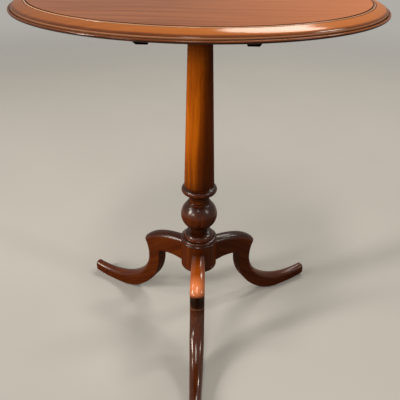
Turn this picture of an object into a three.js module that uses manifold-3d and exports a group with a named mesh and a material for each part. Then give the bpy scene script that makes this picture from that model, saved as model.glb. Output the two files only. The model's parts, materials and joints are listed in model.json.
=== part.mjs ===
// Tilt-top tripod table. Millimetres, +Z up, origin on the floor under the column's axis.
// The single leg points to -Y. The top's grain and its hinge run along X, and the hinge lies
// on the +Y side of the column, so the top's near edge rises and its far edge sinks.
import * as THREE from 'three';
import { mergeVertices } from 'three/addons/utils/BufferGeometryUtils.js';
import Module from 'manifold-3d';

const wasm = await Module();
wasm.setup();

// ---------------------------------------------------------------- driving dimensions

// Clearances
const FIT = 0.3; // left between pieces that are glued, screwed or let into each other
const RUNNING = 0.3; // left round pieces that turn or slide
const SIDE_PLAY = 0.6; // between the pivot block's ends and the bearers

// The top board and its moulded edge
const TABLE_HEIGHT = 720; // floor to the top's upper face
const TOP_RADIUS = 313.25;
const BOARD_THICKNESS = 19;
const MOULDING_WIDTH = 29.6; // edge of the board to the quirk round its flat field
const QUIRK_WIDTH = 1.3;
const BEAD_RADIUS = 1.5; // the small half-round bead in the quirk
const BEAD_SUNK = 0.5; // its crest lies this far below the flat field
const OUTER_QUIRK_WIDTH = 1; // from the bead to the ovolo
const OVOLO_START = 1.4; // flat field to the ovolo's inner edge
const OVOLO_DROP = 9; // flat field to the ovolo's outer edge
const FILLET_HEIGHT = 1.6; // upright fillet below the ovolo
const FILLET_WIDTH = 0.6;
const NOSING_GAP = 0.9; // from the fillet down to the crest of the nosing
const NOSING_RADIUS = 2.1;
const UNDERCUT_WIDTH = 20; // bevel under the edge

// The two bearers screwed under the top
const BEARER_SPACING = 156.8; // between their middles
const BEARER_WIDTH = 18;
const BEARER_DEPTH = 22.4;
const BEARER_LENGTH = 470;
const BEARER_TAPER_LENGTH = 35; // sloping end
const BEARER_TAPER_RISE = 12;
const BEARER_SCREW_INSET = 20; // from the start of the slope to the outer screws
const BEARER_INNER_SCREW = 92; // from the middle to the inner screws
const TIP_COVER = 8; // wood left above the tip of a screw in the board

// The pivot block on the column's head
const BLOCK_THICKNESS = 28;
const BLOCK_FRONT = 69; // column's axis to the block's front face
const PIVOT_SETBACK = 57; // column's axis to the hinge axis
const PINTLE_RADIUS = 7;

// The column, from its foot up
const DRUM_BOTTOM = 147; // floor to the column's foot
const DRUM_RADIUS = 39.5;
const DRUM_HEIGHT = 69.5;
const DRUM_EDGE = 4; // rounding of the foot's rim
const COLLAR_BEAD = 4.3; // radius of the bead that caps the drum
const COLLAR_STEP_RADIUS = 33.4;
const COLLAR_STEP_HEIGHT = 2.2;
const DOME_HEIGHT = 11.5;
const LOWER_NECK_RADIUS = 18;
const LOWER_NECK_HEIGHT = 9.5;
const BALL_RADIUS = 38.9;
const BALL_HALF_HEIGHT = 36.6; // the ball is a little flattened
const UPPER_NECK_RADIUS = 21;
const UPPER_NECK_HEIGHT = 11.5;
const BALL_FILLET = 3.2; // small square ring on the ball's crown
const RING_RADIUS = 37.4;
const RING_BEAD = 7.8;
const RING_FLARE_HEIGHT = 9.5;
const SHAFT_FOOT_RADIUS = 31.5;
const SHAFT_HEAD_RADIUS = 23.2;
const ASTRAGAL_RADIUS = 25.6;
const ASTRAGAL_HEIGHT = 7;
const CAP_NECK_HEIGHT = 7;
const CAP_RADIUS = 33;
const CAP_COVE_HEIGHT = 14;
const CAP_FILLET_HEIGHT = 6.4;
const TENON_RADIUS = 20;
const WEDGE_THICKNESS = 3.2; // at its head
const WEDGE_DEPTH = 22;

// The three legs
const LEG_REACH = 316.5; // column's axis to the end of the toe
const LEG_ROOT_WIDTH = 29;
const LEG_KNEE_WIDTH = 31;
const LEG_TOE_WIDTH = 19.5;
const LEG_EDGE = 5; // rounding along the leg's long edges
const LEG_RISE = 3.5; // column's foot to the leg's under edge at the drum
const HIP_DEPTH = 57; // height of the leg where it leaves the drum
const KNEE_RADIUS = 147.5; // column's axis to the knee's point
const KNEE_DROP = 36.5; // from the top of the hip to the knee's point
const SHIN_RADIUS = 136.2; // the hollow below the knee
const SHIN_DROP = 43; // knee's point to the middle of that hollow
const SHANK_THICKNESS = 34.2; // across the leg at that hollow
const ARCH_CORNER = 2; // the square inner corner steps in by this much
const HEEL_RADIUS = 162; // a point on the sole where it leaves the floor
const HEEL_HEIGHT = 24;
const PAD_RADIUS = 252; // middle of the flat that stands on the floor
const PAD_LENGTH = 24;
const TOE_HEIGHT = 31; // top of the toe
const TOE_ROUND = 8; // rounding of the toe's upper corner
const TOE_LOW = 6; // height of its lower corner, where the blunt end starts
const TOE_LEAN = 1; // the end's foot stands back by this much
const DOVETAIL_NECK = 12;
const DOVETAIL_TAIL = 18;
const DOVETAIL_DEPTH = 17;
const DOVETAIL_SHOULDER = 4; // hip's top and under edge to the ends of the dovetail

// The iron strap plate under the column's foot
const PLATE_THICKNESS = 2.4;
const PLATE_RADIUS = 34;
const PLATE_REACH = 80; // column's axis to the end of each arm
const PLATE_ARM_WIDTH = 14;
const PLATE_JOGGLE = 6; // length over which an arm steps up from the drum to the leg
const PLATE_HUB_SCREW = 24; // column's axis to the screws between the arms
const PLATE_END_INSET = 9; // end of an arm to its screw

// The brass catch under the top and its strike in the pivot block
const BRASS_THICKNESS = 1.8;
const BOLT_WIDTH = 10.6;
const BOLT_HEIGHT = 5;
const BOLT_LENGTH = 38;
const BOLT_TRAVEL = 8;
const BOLT_STANDOFF = 3; // drawn bolt to the strike plate
const CASE_LENGTH = 34;
const CASE_FLANGE = 12; // width of each flange beside the channel
const CASE_NOSE = 2; // drawn bolt's tip stands this far out of the case
const SPRING_SPACE = 2.6; // between the bolt and the board
const SPRING_THICKNESS = 0.5;
const KNOB_RADIUS = 6;
const KNOB_LENGTH = 12;
const KNOB_STEM_RADIUS = 2;
const KNOB_SETBACK = 28; // bolt's tip to the knob
const STRIKE_HALF_WIDTH = 19;
const STRIKE_CLEARANCE = 0.9; // round the bolt in the strike's window
const STRIKE_SCREW_OFFSET = 13;

// Wood screws: radius of the shank, radius of the countersunk head, length
const HEAD_RIM = 0.3; // straight rim of each head
const TOP_SCREW = { shank: 2.1, head: 4.2, length: FIT + BEARER_DEPTH + BOARD_THICKNESS - TIP_COVER };
const PLATE_SCREW = { shank: 1.9, head: 3.8, length: 16 };
const BRASS_SCREW = { shank: 1.3, head: 2.7, length: 10 };
const STRIKE_SCREW = { shank: 1.3, head: 2.7, length: 14 };

// Facets
const TOP_SIDES = 64;
const COLUMN_SIDES = 28;
const BORE_SIDES = 24;
const SCREW_SIDES = 8;
const CURVE_STEPS = 8;
const TOE_STEPS = 3;

// ---------------------------------------------------------------- places worked out from them

const BOARD_UNDERSIDE = TABLE_HEIGHT - BOARD_THICKNESS;
const SEAT = BOARD_UNDERSIDE - FIT; // upper face of all that lies under the board
const BEARER_OFFSET = BEARER_SPACING / 2;
const BEARER_BOTTOM = SEAT - BEARER_DEPTH;
const PIVOT_HEIGHT = SEAT - BEARER_DEPTH / 2;
const BLOCK_BOTTOM = SEAT - BLOCK_THICKNESS;
const BLOCK_HALF_LENGTH = BEARER_OFFSET - BEARER_WIDTH / 2 - SIDE_PLAY;
const COLUMN_SHOULDER = BLOCK_BOTTOM - FIT;
const DRUM_TOP = DRUM_BOTTOM + DRUM_HEIGHT;
const HIP_BOTTOM = DRUM_BOTTOM + LEG_RISE;
const HIP_TOP = HIP_BOTTOM + HIP_DEPTH;
const DOVETAIL_TOP = HIP_TOP - DOVETAIL_SHOULDER;
const PLATE_TOP = DRUM_BOTTOM - FIT;
const TURN = 2 * Math.PI;
const LEG_AZIMUTHS = { front: -TURN / 4, right: TURN / 12, left: (5 * TURN) / 12 };
const HUB_SCREW_AZIMUTHS = [TURN / 4, (7 * TURN) / 12, (11 * TURN) / 12]; // between the legs

const CHANNEL_DEPTH = SPRING_SPACE + BOLT_HEIGHT + RUNNING;
const CASE_DEPTH = CHANNEL_DEPTH + BRASS_THICKNESS;
const CHANNEL_HALF_WIDTH = BOLT_WIDTH / 2 + RUNNING;
const BOLT_TIP = -BLOCK_FRONT - BOLT_STANDOFF;
const BOLT_TOP = SEAT - SPRING_SPACE;
const BOLT_MIDDLE = BOLT_TOP - BOLT_HEIGHT / 2;
const CASE_FRONT = BOLT_TIP - CASE_NOSE;
const KNOB_Y = BOLT_TIP - KNOB_SETBACK;

// ---------------------------------------------------------------- helpers

const radians = THREE.MathUtils.degToRad;
const point = (x, y) => new THREE.Vector2(x, y);

// One closed solid from a geometry: shared corners joined, collapsed faces left out.
function solid(geometry) {
  const bare = geometry.clone();
  bare.deleteAttribute('normal');
  bare.deleteAttribute('uv');
  const welded = mergeVertices(bare);
  const corners = welded.index.array;
  const faces = [];
  for (let i = 0; i < corners.length; i += 3) {
    const [a, b, c] = [corners[i], corners[i + 1], corners[i + 2]];
    if (a !== b && b !== c && c !== a) faces.push(a, b, c);
  }
  return new wasm.Manifold(new wasm.Mesh({
    numProp: 3,
    vertProperties: new Float32Array(welded.attributes.position.array),
    triVerts: new Uint32Array(faces),
  }));
}

// The geometry of a solid, ready for a mesh.
function surface(body) {
  const { vertProperties, triVerts } = body.getMesh();
  const geometry = new THREE.BufferGeometry();
  geometry.setAttribute('position', new THREE.BufferAttribute(vertProperties, 3));
  geometry.setIndex(new THREE.BufferAttribute(triVerts, 1));
  geometry.computeVertexNormals();
  return geometry;
}

// A turned shape from its half section, listed from the axis at the bottom to the axis at the top.
function turned(section, sides) {
  const points = section.map(([radius, height]) => point(radius, height));
  return new THREE.LatheGeometry(points, sides).rotateX(Math.PI / 2);
}

// Points of an arc as [radius, height] pairs, from one angle to another in degrees.
function arc(radius, height, size, from, to, steps) {
  return Array.from({ length: steps + 1 }, (_, i) => {
    const angle = radians(from + ((to - from) * i) / steps);
    return [radius + size * Math.cos(angle), height + size * Math.sin(angle)];
  });
}

// A curve between two points from its headings in degrees and its handles as shares of the chord.
function bend(from, to, leave, arrive, pullOut, pullIn, steps = CURVE_STEPS) {
  const chord = from.distanceTo(to);
  const out = point(Math.cos(radians(leave)), Math.sin(radians(leave)));
  const into = point(Math.cos(radians(arrive)), Math.sin(radians(arrive)));
  const first = from.clone().addScaledVector(out, pullOut * chord);
  const second = to.clone().addScaledVector(into, -pullIn * chord);
  return new THREE.CubicBezierCurve(from, first, second, to).getPoints(steps);
}

// A plan outline raised from one height to another.
function raised(outline, from, to) {
  const shape = new THREE.Shape(outline);
  return new THREE.ExtrudeGeometry(shape, { depth: to - from, bevelEnabled: false }).translate(0, 0, from);
}

// A side view drawn in (y, z) carried along X, with its middle at x.
function carriedAlongX(outline, width, x) {
  const shape = new THREE.Shape(outline);
  const turn = new THREE.Matrix4().makeBasis(
    new THREE.Vector3(0, 1, 0),
    new THREE.Vector3(0, 0, 1),
    new THREE.Vector3(1, 0, 0),
  );
  const bar = new THREE.ExtrudeGeometry(shape, { depth: width, bevelEnabled: false });
  return bar.applyMatrix4(turn).translate(x - width / 2, 0, 0);
}

// A view from the front drawn in (x, z) carried along Y between two places.
function carriedAlongY(outline, from, to) {
  const shape = new THREE.Shape(outline);
  const bar = new THREE.ExtrudeGeometry(shape, { depth: to - from, bevelEnabled: false });
  return bar.rotateX(Math.PI / 2).translate(0, to, 0);
}

// A rectangular block between two opposite corners.
function block(low, high) {
  const size = high.map((value, i) => value - low[i]);
  const middle = high.map((value, i) => (value + low[i]) / 2);
  return new THREE.BoxGeometry(...size).translate(...middle);
}

// A drilling tool whose flats, not corners, lie at the given radius.
function drill(radius, from, to, sides) {
  const corner = radius / Math.cos(Math.PI / sides);
  return turned([[0, from], [corner, from], [corner, to], [0, to]], sides);
}

function cut(body, tools) {
  return tools.reduce((rest, tool) => rest.subtract(solid(tool)), body);
}

// ---------------------------------------------------------------- screws

// A screw stands on the centre of its head's face and points along +Z.
function screwSection({ shank, head, length }, gap, from) {
  const cone = head - shank;
  return [
    [0, from],
    [head + gap, from],
    [head + gap, HEAD_RIM],
    [shank + gap, HEAD_RIM + cone],
    [shank + gap, length - 2 * shank],
    [gap + shank / 4, length + gap],
    [0, length + gap],
  ];
}

function screw(size) {
  const slot = size.head / 5;
  const tool = block([-size.head, -slot / 2, -slot], [size.head, slot / 2, slot]);
  return surface(cut(solid(turned(screwSection(size, 0, 0), SCREW_SIDES)), [tool]));
}

// The hole that takes a screw, from a little outside the face it is driven into.
function screwHole(size, x, y, z) {
  return turned(screwSection(size, FIT, -1), SCREW_SIDES).translate(x, y, z);
}

// Where the screws' heads lie
function bearerScrewPlaces(x) {
  const outer = BEARER_LENGTH / 2 - BEARER_TAPER_LENGTH - BEARER_SCREW_INSET;
  return [-outer, -BEARER_INNER_SCREW, BEARER_INNER_SCREW, outer].map((y) => [x, y, BEARER_BOTTOM]);
}

function caseScrewPlaces() {
  const x = CHANNEL_HALF_WIDTH + BRASS_THICKNESS + CASE_FLANGE / 2;
  const inset = CASE_FLANGE / 2;
  const ends = [CASE_FRONT - inset, CASE_FRONT - CASE_LENGTH + inset];
  return [-x, x].flatMap((side) => ends.map((y) => [side, y, SEAT - BRASS_THICKNESS]));
}

function plateScrewPlaces() {
  const end = PLATE_REACH - PLATE_END_INSET;
  const arms = Object.values(LEG_AZIMUTHS).map((azimuth) => [azimuth, end, armBottomAt(end)]);
  const hub = HUB_SCREW_AZIMUTHS.map((azimuth) => [azimuth, PLATE_HUB_SCREW, PLATE_TOP - PLATE_THICKNESS]);
  return [...arms, ...hub].map(([azimuth, radius, z]) => (
    [radius * Math.cos(azimuth), radius * Math.sin(azimuth), z]
  ));
}

// ---------------------------------------------------------------- the top

function tableTop() {
  const quirk = TOP_RADIUS - MOULDING_WIDTH;
  const bead = quirk + QUIRK_WIDTH + BEAD_RADIUS;
  const beadFoot = TABLE_HEIGHT - BEAD_SUNK - BEAD_RADIUS;
  const ovolo = bead + BEAD_RADIUS + OUTER_QUIRK_WIDTH;
  const ovoloTop = TABLE_HEIGHT - OVOLO_START;
  const ovoloEnd = TABLE_HEIGHT - OVOLO_DROP;
  const filletEnd = ovoloEnd - FILLET_HEIGHT;
  const nosing = TOP_RADIUS - NOSING_RADIUS;
  const nosingMiddle = filletEnd - NOSING_GAP - NOSING_RADIUS;
  const fillet = nosing - NOSING_RADIUS - FILLET_WIDTH;
  const hollow = fillet - FILLET_WIDTH;
  const ovoloCurve = bend(point(hollow, ovoloEnd), point(ovolo, ovoloTop), 125, 163, 0.2, 0.4);
  const section = [
    [0, BOARD_UNDERSIDE],
    [TOP_RADIUS - UNDERCUT_WIDTH, BOARD_UNDERSIDE],
    ...arc(nosing, nosingMiddle, NOSING_RADIUS, -90, 150, 8),
    [hollow, nosingMiddle + NOSING_RADIUS / 2],
    [hollow, filletEnd],
    [fillet, filletEnd],
    [fillet, ovoloEnd],
    ...ovoloCurve.map(({ x, y }) => [x, y]),
    [ovolo, beadFoot],
    ...arc(bead, beadFoot, BEAD_RADIUS, 0, 180, 6),
    [quirk, beadFoot],
    [quirk, TABLE_HEIGHT],
    [0, TABLE_HEIGHT],
  ];
  const places = [...bearerScrewPlaces(-BEARER_OFFSET), ...bearerScrewPlaces(BEARER_OFFSET)];
  const bearerHoles = places.map((place) => screwHole(TOP_SCREW, ...place));
  const caseHoles = caseScrewPlaces().map((place) => screwHole(BRASS_SCREW, ...place));
  return surface(cut(solid(turned(section, TOP_SIDES)), [...bearerHoles, ...caseHoles]));
}

function bearer(x) {
  const end = BEARER_LENGTH / 2;
  const flat = end - BEARER_TAPER_LENGTH;
  const outline = [
    point(-end, SEAT),
    point(-end, BEARER_BOTTOM + BEARER_TAPER_RISE),
    point(-flat, BEARER_BOTTOM),
    point(flat, BEARER_BOTTOM),
    point(end, BEARER_BOTTOM + BEARER_TAPER_RISE),
    point(end, SEAT),
  ];
  const bore = drill(PINTLE_RADIUS + RUNNING, -BEARER_WIDTH, BEARER_WIDTH, BORE_SIDES)
    .rotateY(Math.PI / 2).translate(x, PIVOT_SETBACK, PIVOT_HEIGHT);
  const holes = bearerScrewPlaces(x).map((place) => screwHole(TOP_SCREW, ...place));
  return surface(cut(solid(carriedAlongX(outline, BEARER_WIDTH, x)), [bore, ...holes]));
}

// ---------------------------------------------------------------- the pivot block

function pivotBlock() {
  const edge = SEAT - PIVOT_HEIGHT; // the far top edge is rounded about the hinge axis
  const rounded = arc(PIVOT_SETBACK, PIVOT_HEIGHT, edge, 0, 90, 6).map(([y, z]) => point(y, z));
  const outline = [
    point(-BLOCK_FRONT, BLOCK_BOTTOM),
    point(PIVOT_SETBACK + edge, BLOCK_BOTTOM),
    ...rounded,
    point(-BLOCK_FRONT, SEAT),
  ];
  const body = solid(carriedAlongX(outline, 2 * BLOCK_HALF_LENGTH, 0));
  const pintleEnd = BEARER_OFFSET + BEARER_WIDTH / 2 - FIT;
  const pintleSection = [[0, -pintleEnd], [PINTLE_RADIUS, -pintleEnd], [PINTLE_RADIUS, pintleEnd], [0, pintleEnd]];
  const pintles = turned(pintleSection, BORE_SIDES)
    .rotateY(Math.PI / 2).translate(0, PIVOT_SETBACK, PIVOT_HEIGHT);
  const bore = drill(TENON_RADIUS + FIT, BLOCK_BOTTOM - 1, SEAT + 1, COLUMN_SIDES);
  return surface(cut(body.add(solid(pintles)), [bore, ...strikeSinking()]));
}

// The housing of the strike plate, the mortise behind its window and its screw holes
function strikeSinking() {
  const wide = STRIKE_HALF_WIDTH + FIT;
  const low = 2 * BOLT_MIDDLE - SEAT;
  const back = -BLOCK_FRONT + BRASS_THICKNESS + FIT;
  const housing = block([-wide, -BLOCK_FRONT - 1, low], [wide, back, SEAT + 1]);
  const half = BOLT_WIDTH / 2 + STRIKE_CLEARANCE;
  const tall = BOLT_HEIGHT / 2 + STRIKE_CLEARANCE;
  const floor = -BLOCK_FRONT + BOLT_TRAVEL - BOLT_STANDOFF + 2 * STRIKE_CLEARANCE;
  const mortise = block([-half, -BLOCK_FRONT, BOLT_MIDDLE - tall], [half, floor, BOLT_MIDDLE + tall]);
  return [housing, mortise, ...strikeScrewHoles()];
}

function strikeScrewHoles() {
  return [-STRIKE_SCREW_OFFSET, STRIKE_SCREW_OFFSET].map((x) => (
    screwHole(STRIKE_SCREW, 0, 0, 0).rotateX(-Math.PI / 2).translate(x, -BLOCK_FRONT, BOLT_MIDDLE)
  ));
}

function strikePlate() {
  const top = SEAT - FIT;
  const low = 2 * BOLT_MIDDLE - top;
  const face = -BLOCK_FRONT;
  const plate = block([-STRIKE_HALF_WIDTH, face, low], [STRIKE_HALF_WIDTH, face + BRASS_THICKNESS, top]);
  const half = BOLT_WIDTH / 2 + STRIKE_CLEARANCE;
  const tall = BOLT_HEIGHT / 2 + STRIKE_CLEARANCE;
  const window = block([-half, face - 1, BOLT_MIDDLE - tall], [half, face + 2 * BRASS_THICKNESS, BOLT_MIDDLE + tall]);
  return surface(cut(solid(plate), [window, ...strikeScrewHoles()]));
}

// ---------------------------------------------------------------- the column

function columnSection() {
  const beadMiddle = DRUM_TOP + COLLAR_BEAD;
  const beadTop = beadMiddle + COLLAR_BEAD;
  const domeFoot = beadTop + COLLAR_STEP_HEIGHT;
  const domeTop = domeFoot + DOME_HEIGHT;
  const neckTop = domeTop + LOWER_NECK_HEIGHT;
  const squash = BALL_HALF_HEIGHT / BALL_RADIUS;
  const ballCrown = UPPER_NECK_RADIUS + BALL_FILLET;
  const ballMiddle = neckTop + squash * Math.sqrt(BALL_RADIUS ** 2 - LOWER_NECK_RADIUS ** 2);
  const ballTop = ballMiddle + squash * Math.sqrt(BALL_RADIUS ** 2 - ballCrown ** 2);
  const upperNeck = ballTop + BALL_FILLET + UPPER_NECK_HEIGHT;
  const ringMiddle = upperNeck + RING_FLARE_HEIGHT + RING_BEAD;
  const ringCore = RING_RADIUS - RING_BEAD;
  const capTop = COLUMN_SHOULDER;
  const capCove = capTop - CAP_FILLET_HEIGHT;
  const capNeck = capCove - CAP_COVE_HEIGHT;
  const astragalTop = capNeck - CAP_NECK_HEIGHT;
  const astragalFoot = astragalTop - ASTRAGAL_HEIGHT;
  const lowest = THREE.MathUtils.radToDeg(Math.acos(LOWER_NECK_RADIUS / BALL_RADIUS));
  const highest = THREE.MathUtils.radToDeg(Math.acos(ballCrown / BALL_RADIUS));
  const ball = arc(0, 0, BALL_RADIUS, -lowest, highest, 11).map(([r, h]) => [r, ballMiddle + squash * h]);
  const curve = (from, to, ...way) => bend(point(...from), point(...to), ...way, 4).map(({ x, y }) => [x, y]);
  const dome = curve([COLLAR_STEP_RADIUS - 1.5, domeFoot], [LOWER_NECK_RADIUS, domeTop], 90, 150, 0.5, 0.3);
  const flare = curve([UPPER_NECK_RADIUS, upperNeck], [ringCore, ringMiddle - RING_BEAD], 80, 20, 0.5, 0.3);
  const cap = curve([SHAFT_HEAD_RADIUS, capNeck], [CAP_RADIUS, capCove], 85, 25, 0.45, 0.35);
  return [
    [0, DRUM_BOTTOM],
    ...arc(DRUM_RADIUS - DRUM_EDGE, DRUM_BOTTOM + DRUM_EDGE, DRUM_EDGE, -90, 0, 3),
    ...arc(DRUM_RADIUS - COLLAR_BEAD, beadMiddle, COLLAR_BEAD, -60, 90, 6),
    [COLLAR_STEP_RADIUS, beadTop],
    [COLLAR_STEP_RADIUS, domeFoot],
    ...dome,
    ...ball,
    [ballCrown, ballTop + BALL_FILLET],
    [UPPER_NECK_RADIUS, ballTop + BALL_FILLET],
    ...flare,
    ...arc(ringCore, ringMiddle, RING_BEAD, -70, 80, 6),
    [SHAFT_FOOT_RADIUS, ringMiddle + RING_BEAD],
    [SHAFT_HEAD_RADIUS, astragalFoot],
    [ASTRAGAL_RADIUS, astragalFoot + ASTRAGAL_HEIGHT / 4],
    [ASTRAGAL_RADIUS, astragalTop - ASTRAGAL_HEIGHT / 4],
    [SHAFT_HEAD_RADIUS, astragalTop],
    ...cap,
    [CAP_RADIUS + 1, capCove],
    [CAP_RADIUS + 1, capTop],
    [TENON_RADIUS, capTop],
    [TENON_RADIUS, SEAT],
    [0, SEAT],
  ];
}

// Plan of a dovetail that points along +X from the drum, grown by a gap all round
function dovetailPlan(gap, reach) {
  const root = DRUM_RADIUS - DOVETAIL_DEPTH - gap;
  const slope = (DOVETAIL_TAIL - DOVETAIL_NECK) / 2 / DOVETAIL_DEPTH;
  const tail = DOVETAIL_TAIL / 2 + gap;
  const neck = DOVETAIL_NECK / 2 + gap - slope * (reach - DRUM_RADIUS);
  return [point(root, -tail), point(reach, -neck), point(reach, neck), point(root, tail)];
}

function column() {
  const below = DRUM_BOTTOM - 1;
  const past = DRUM_RADIUS + 2;
  const sockets = Object.values(LEG_AZIMUTHS).map((azimuth) => (
    raised(dovetailPlan(FIT, past), below, DOVETAIL_TOP + FIT).rotateZ(azimuth)
  ));
  const kerf = wedgeGeometry(FIT, 2 * TENON_RADIUS + 2);
  const plateHoles = plateScrewPlaces().slice(-HUB_SCREW_AZIMUTHS.length)
    .map((place) => screwHole(PLATE_SCREW, ...place));
  const body = solid(turned(columnSection(), COLUMN_SIDES));
  return surface(cut(body, [...sockets, kerf, ...plateHoles]));
}

// The wedge stands across the block's grain, thick end up; the kerf is the same shape with a gap.
function wedgeGeometry(gap, length) {
  const head = WEDGE_THICKNESS / 2 + gap;
  const tip = WEDGE_THICKNESS / 6 + gap;
  const top = gap > 0 ? SEAT + 1 : SEAT;
  const foot = SEAT - WEDGE_DEPTH - gap;
  const outline = [point(-tip, foot), point(tip, foot), point(head, top), point(-head, top)];
  return carriedAlongY(outline, -length / 2, length / 2);
}

// ---------------------------------------------------------------- the legs

// The leg's under edge, from the inner corner of the knee back to the drum
function undersideCurve() {
  const corner = point(SHIN_RADIUS - SHANK_THICKNESS - ARCH_CORNER, HIP_BOTTOM);
  return bend(corner, point(DRUM_RADIUS, HIP_BOTTOM), 160, 200, 0.3, 0.33);
}

// Side view of a leg as (distance from the axis, height); its root lies inside the drum.
function legOutline() {
  const root = DRUM_RADIUS - DRUM_EDGE - LEG_EDGE;
  const knee = point(KNEE_RADIUS, HIP_TOP - KNEE_DROP);
  const shin = point(SHIN_RADIUS, knee.y - SHIN_DROP);
  const instep = point(LEG_REACH - TOE_ROUND, TOE_HEIGHT);
  const nose = point(LEG_REACH, TOE_HEIGHT - TOE_ROUND);
  const toeFoot = point(LEG_REACH - TOE_LEAN, TOE_LOW);
  const padOuter = point(PAD_RADIUS + PAD_LENGTH / 2, 0);
  const padInner = point(PAD_RADIUS - PAD_LENGTH / 2, 0);
  const heel = point(HEEL_RADIUS, HEEL_HEIGHT);
  const arch = point(SHIN_RADIUS - SHANK_THICKNESS, shin.y + ARCH_CORNER);
  const stretches = [
    bend(point(root, HIP_TOP), knee, 0, -50, 0.4, 0.32),
    bend(knee, shin, -123, -90, 0.33, 0.34, CURVE_STEPS / 2),
    bend(shin, instep, -90, 11, 0.3, 0.48),
    bend(instep, nose, 8, -90, 0.5, 0.4, TOE_STEPS),
    bend(toeFoot, padOuter, 188, 180, 0.3, 0.35, TOE_STEPS),
    bend(padInner, heel, 180, 143, 0.38, 0.35, CURVE_STEPS / 2),
    bend(heel, arch, 143, 90, 0.35, 0.4, CURVE_STEPS - 2),
    undersideCurve(),
    [point(root, HIP_BOTTOM)],
  ];
  const points = stretches.flat();
  return points.filter((here, i) => i === 0 || here.distanceTo(points[i - 1]) > FIT);
}

// Width of a leg at a distance from the axis: it swells to the knee and thins to the toe.
function legWidth(radius) {
  if (radius < KNEE_RADIUS) {
    return THREE.MathUtils.mapLinear(radius, DRUM_RADIUS, KNEE_RADIUS, LEG_ROOT_WIDTH, LEG_KNEE_WIDTH);
  }
  return THREE.MathUtils.mapLinear(radius, KNEE_RADIUS, LEG_REACH, LEG_KNEE_WIDTH, LEG_TOE_WIDTH);
}

// A leg that points along +X, with its dovetail.
function leg() {
  const slab = new THREE.ExtrudeGeometry(new THREE.Shape(legOutline()), {
    depth: LEG_KNEE_WIDTH - 2 * LEG_EDGE,
    bevelThickness: LEG_EDGE,
    bevelSize: LEG_EDGE,
    bevelOffset: -LEG_EDGE,
    bevelSegments: 2,
  });
  slab.translate(0, 0, LEG_EDGE - LEG_KNEE_WIDTH / 2).rotateX(Math.PI / 2);
  const places = slab.attributes.position;
  for (let i = 0; i < places.count; i += 1) {
    places.setY(i, (places.getY(i) * legWidth(places.getX(i))) / LEG_KNEE_WIDTH);
  }
  const hollow = drill(DRUM_RADIUS + FIT, 0, TABLE_HEIGHT, COLUMN_SIDES);
  const shouldered = cut(solid(slab), [hollow]);
  const tenon = raised(dovetailPlan(0, DRUM_RADIUS + LEG_EDGE + 1), HIP_BOTTOM + DOVETAIL_SHOULDER, DOVETAIL_TOP);
  const end = PLATE_REACH - PLATE_END_INSET;
  const plateHole = screwHole(PLATE_SCREW, end, 0, armBottomAt(end));
  return surface(cut(shouldered.add(solid(tenon)), [plateHole]));
}

// ---------------------------------------------------------------- the strap plate

// Height of an arm's lower face where it lies along the leg
function armBottomAt(radius) {
  const curve = undersideCurve();
  const after = curve.findIndex((here) => here.x < radius);
  const [far, near] = [curve[after - 1], curve[after]];
  return THREE.MathUtils.mapLinear(radius, far.x, near.x, far.y, near.y) - FIT - PLATE_THICKNESS;
}

// Side view of an arm that points along +X: flat under the drum, then up and along the leg.
function armOutline() {
  const lapStart = DRUM_RADIUS + PLATE_JOGGLE;
  const lap = undersideCurve().map(({ x }) => x).filter((x) => x > lapStart && x < PLATE_REACH);
  const stations = [PLATE_REACH, ...lap, lapStart];
  const lower = stations.map((x) => point(x, armBottomAt(x)));
  const upper = lower.map(({ x, y }) => point(x, y + PLATE_THICKNESS)).reverse();
  const hub = [point(DRUM_RADIUS, PLATE_TOP - PLATE_THICKNESS), point(0, PLATE_TOP - PLATE_THICKNESS)];
  return [...lower, ...hub, point(0, PLATE_TOP), point(DRUM_RADIUS - 1, PLATE_TOP), ...upper];
}

function strapPlate() {
  const disc = turned([
    [0, PLATE_TOP - PLATE_THICKNESS],
    [PLATE_RADIUS, PLATE_TOP - PLATE_THICKNESS],
    [PLATE_RADIUS, PLATE_TOP],
    [0, PLATE_TOP],
  ], BORE_SIDES);
  const half = PLATE_ARM_WIDTH / 2;
  const arms = Object.values(LEG_AZIMUTHS).map((azimuth) => (
    carriedAlongY(armOutline().reverse(), -half, half).rotateZ(azimuth)
  ));
  const body = arms.reduce((rest, arm) => rest.add(solid(arm)), solid(disc));
  return surface(cut(body, plateScrewPlaces().map((place) => screwHole(PLATE_SCREW, ...place))));
}

// ---------------------------------------------------------------- the catch

// A hat-shaped channel, open to the board, with a slot for the knob's stem
function catchCase() {
  const outer = CHANNEL_HALF_WIDTH + BRASS_THICKNESS;
  const wing = outer + CASE_FLANGE;
  const right = [
    point(CHANNEL_HALF_WIDTH, SEAT - CHANNEL_DEPTH),
    point(CHANNEL_HALF_WIDTH, SEAT),
    point(wing, SEAT),
    point(wing, SEAT - BRASS_THICKNESS),
    point(outer, SEAT - BRASS_THICKNESS),
    point(outer, SEAT - CASE_DEPTH),
  ];
  const left = right.map(({ x, y }) => point(-x, y)).reverse();
  const body = solid(carriedAlongY([...right, ...left], CASE_FRONT - CASE_LENGTH, CASE_FRONT));
  const side = KNOB_STEM_RADIUS + RUNNING;
  const slot = block(
    [-side, KNOB_Y - side, SEAT - CASE_DEPTH - 1],
    [side, KNOB_Y + BOLT_TRAVEL + side, SEAT - CHANNEL_DEPTH + 1],
  );
  return surface(cut(body, [slot, ...caseScrewPlaces().map((place) => screwHole(BRASS_SCREW, ...place))]));
}

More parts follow.
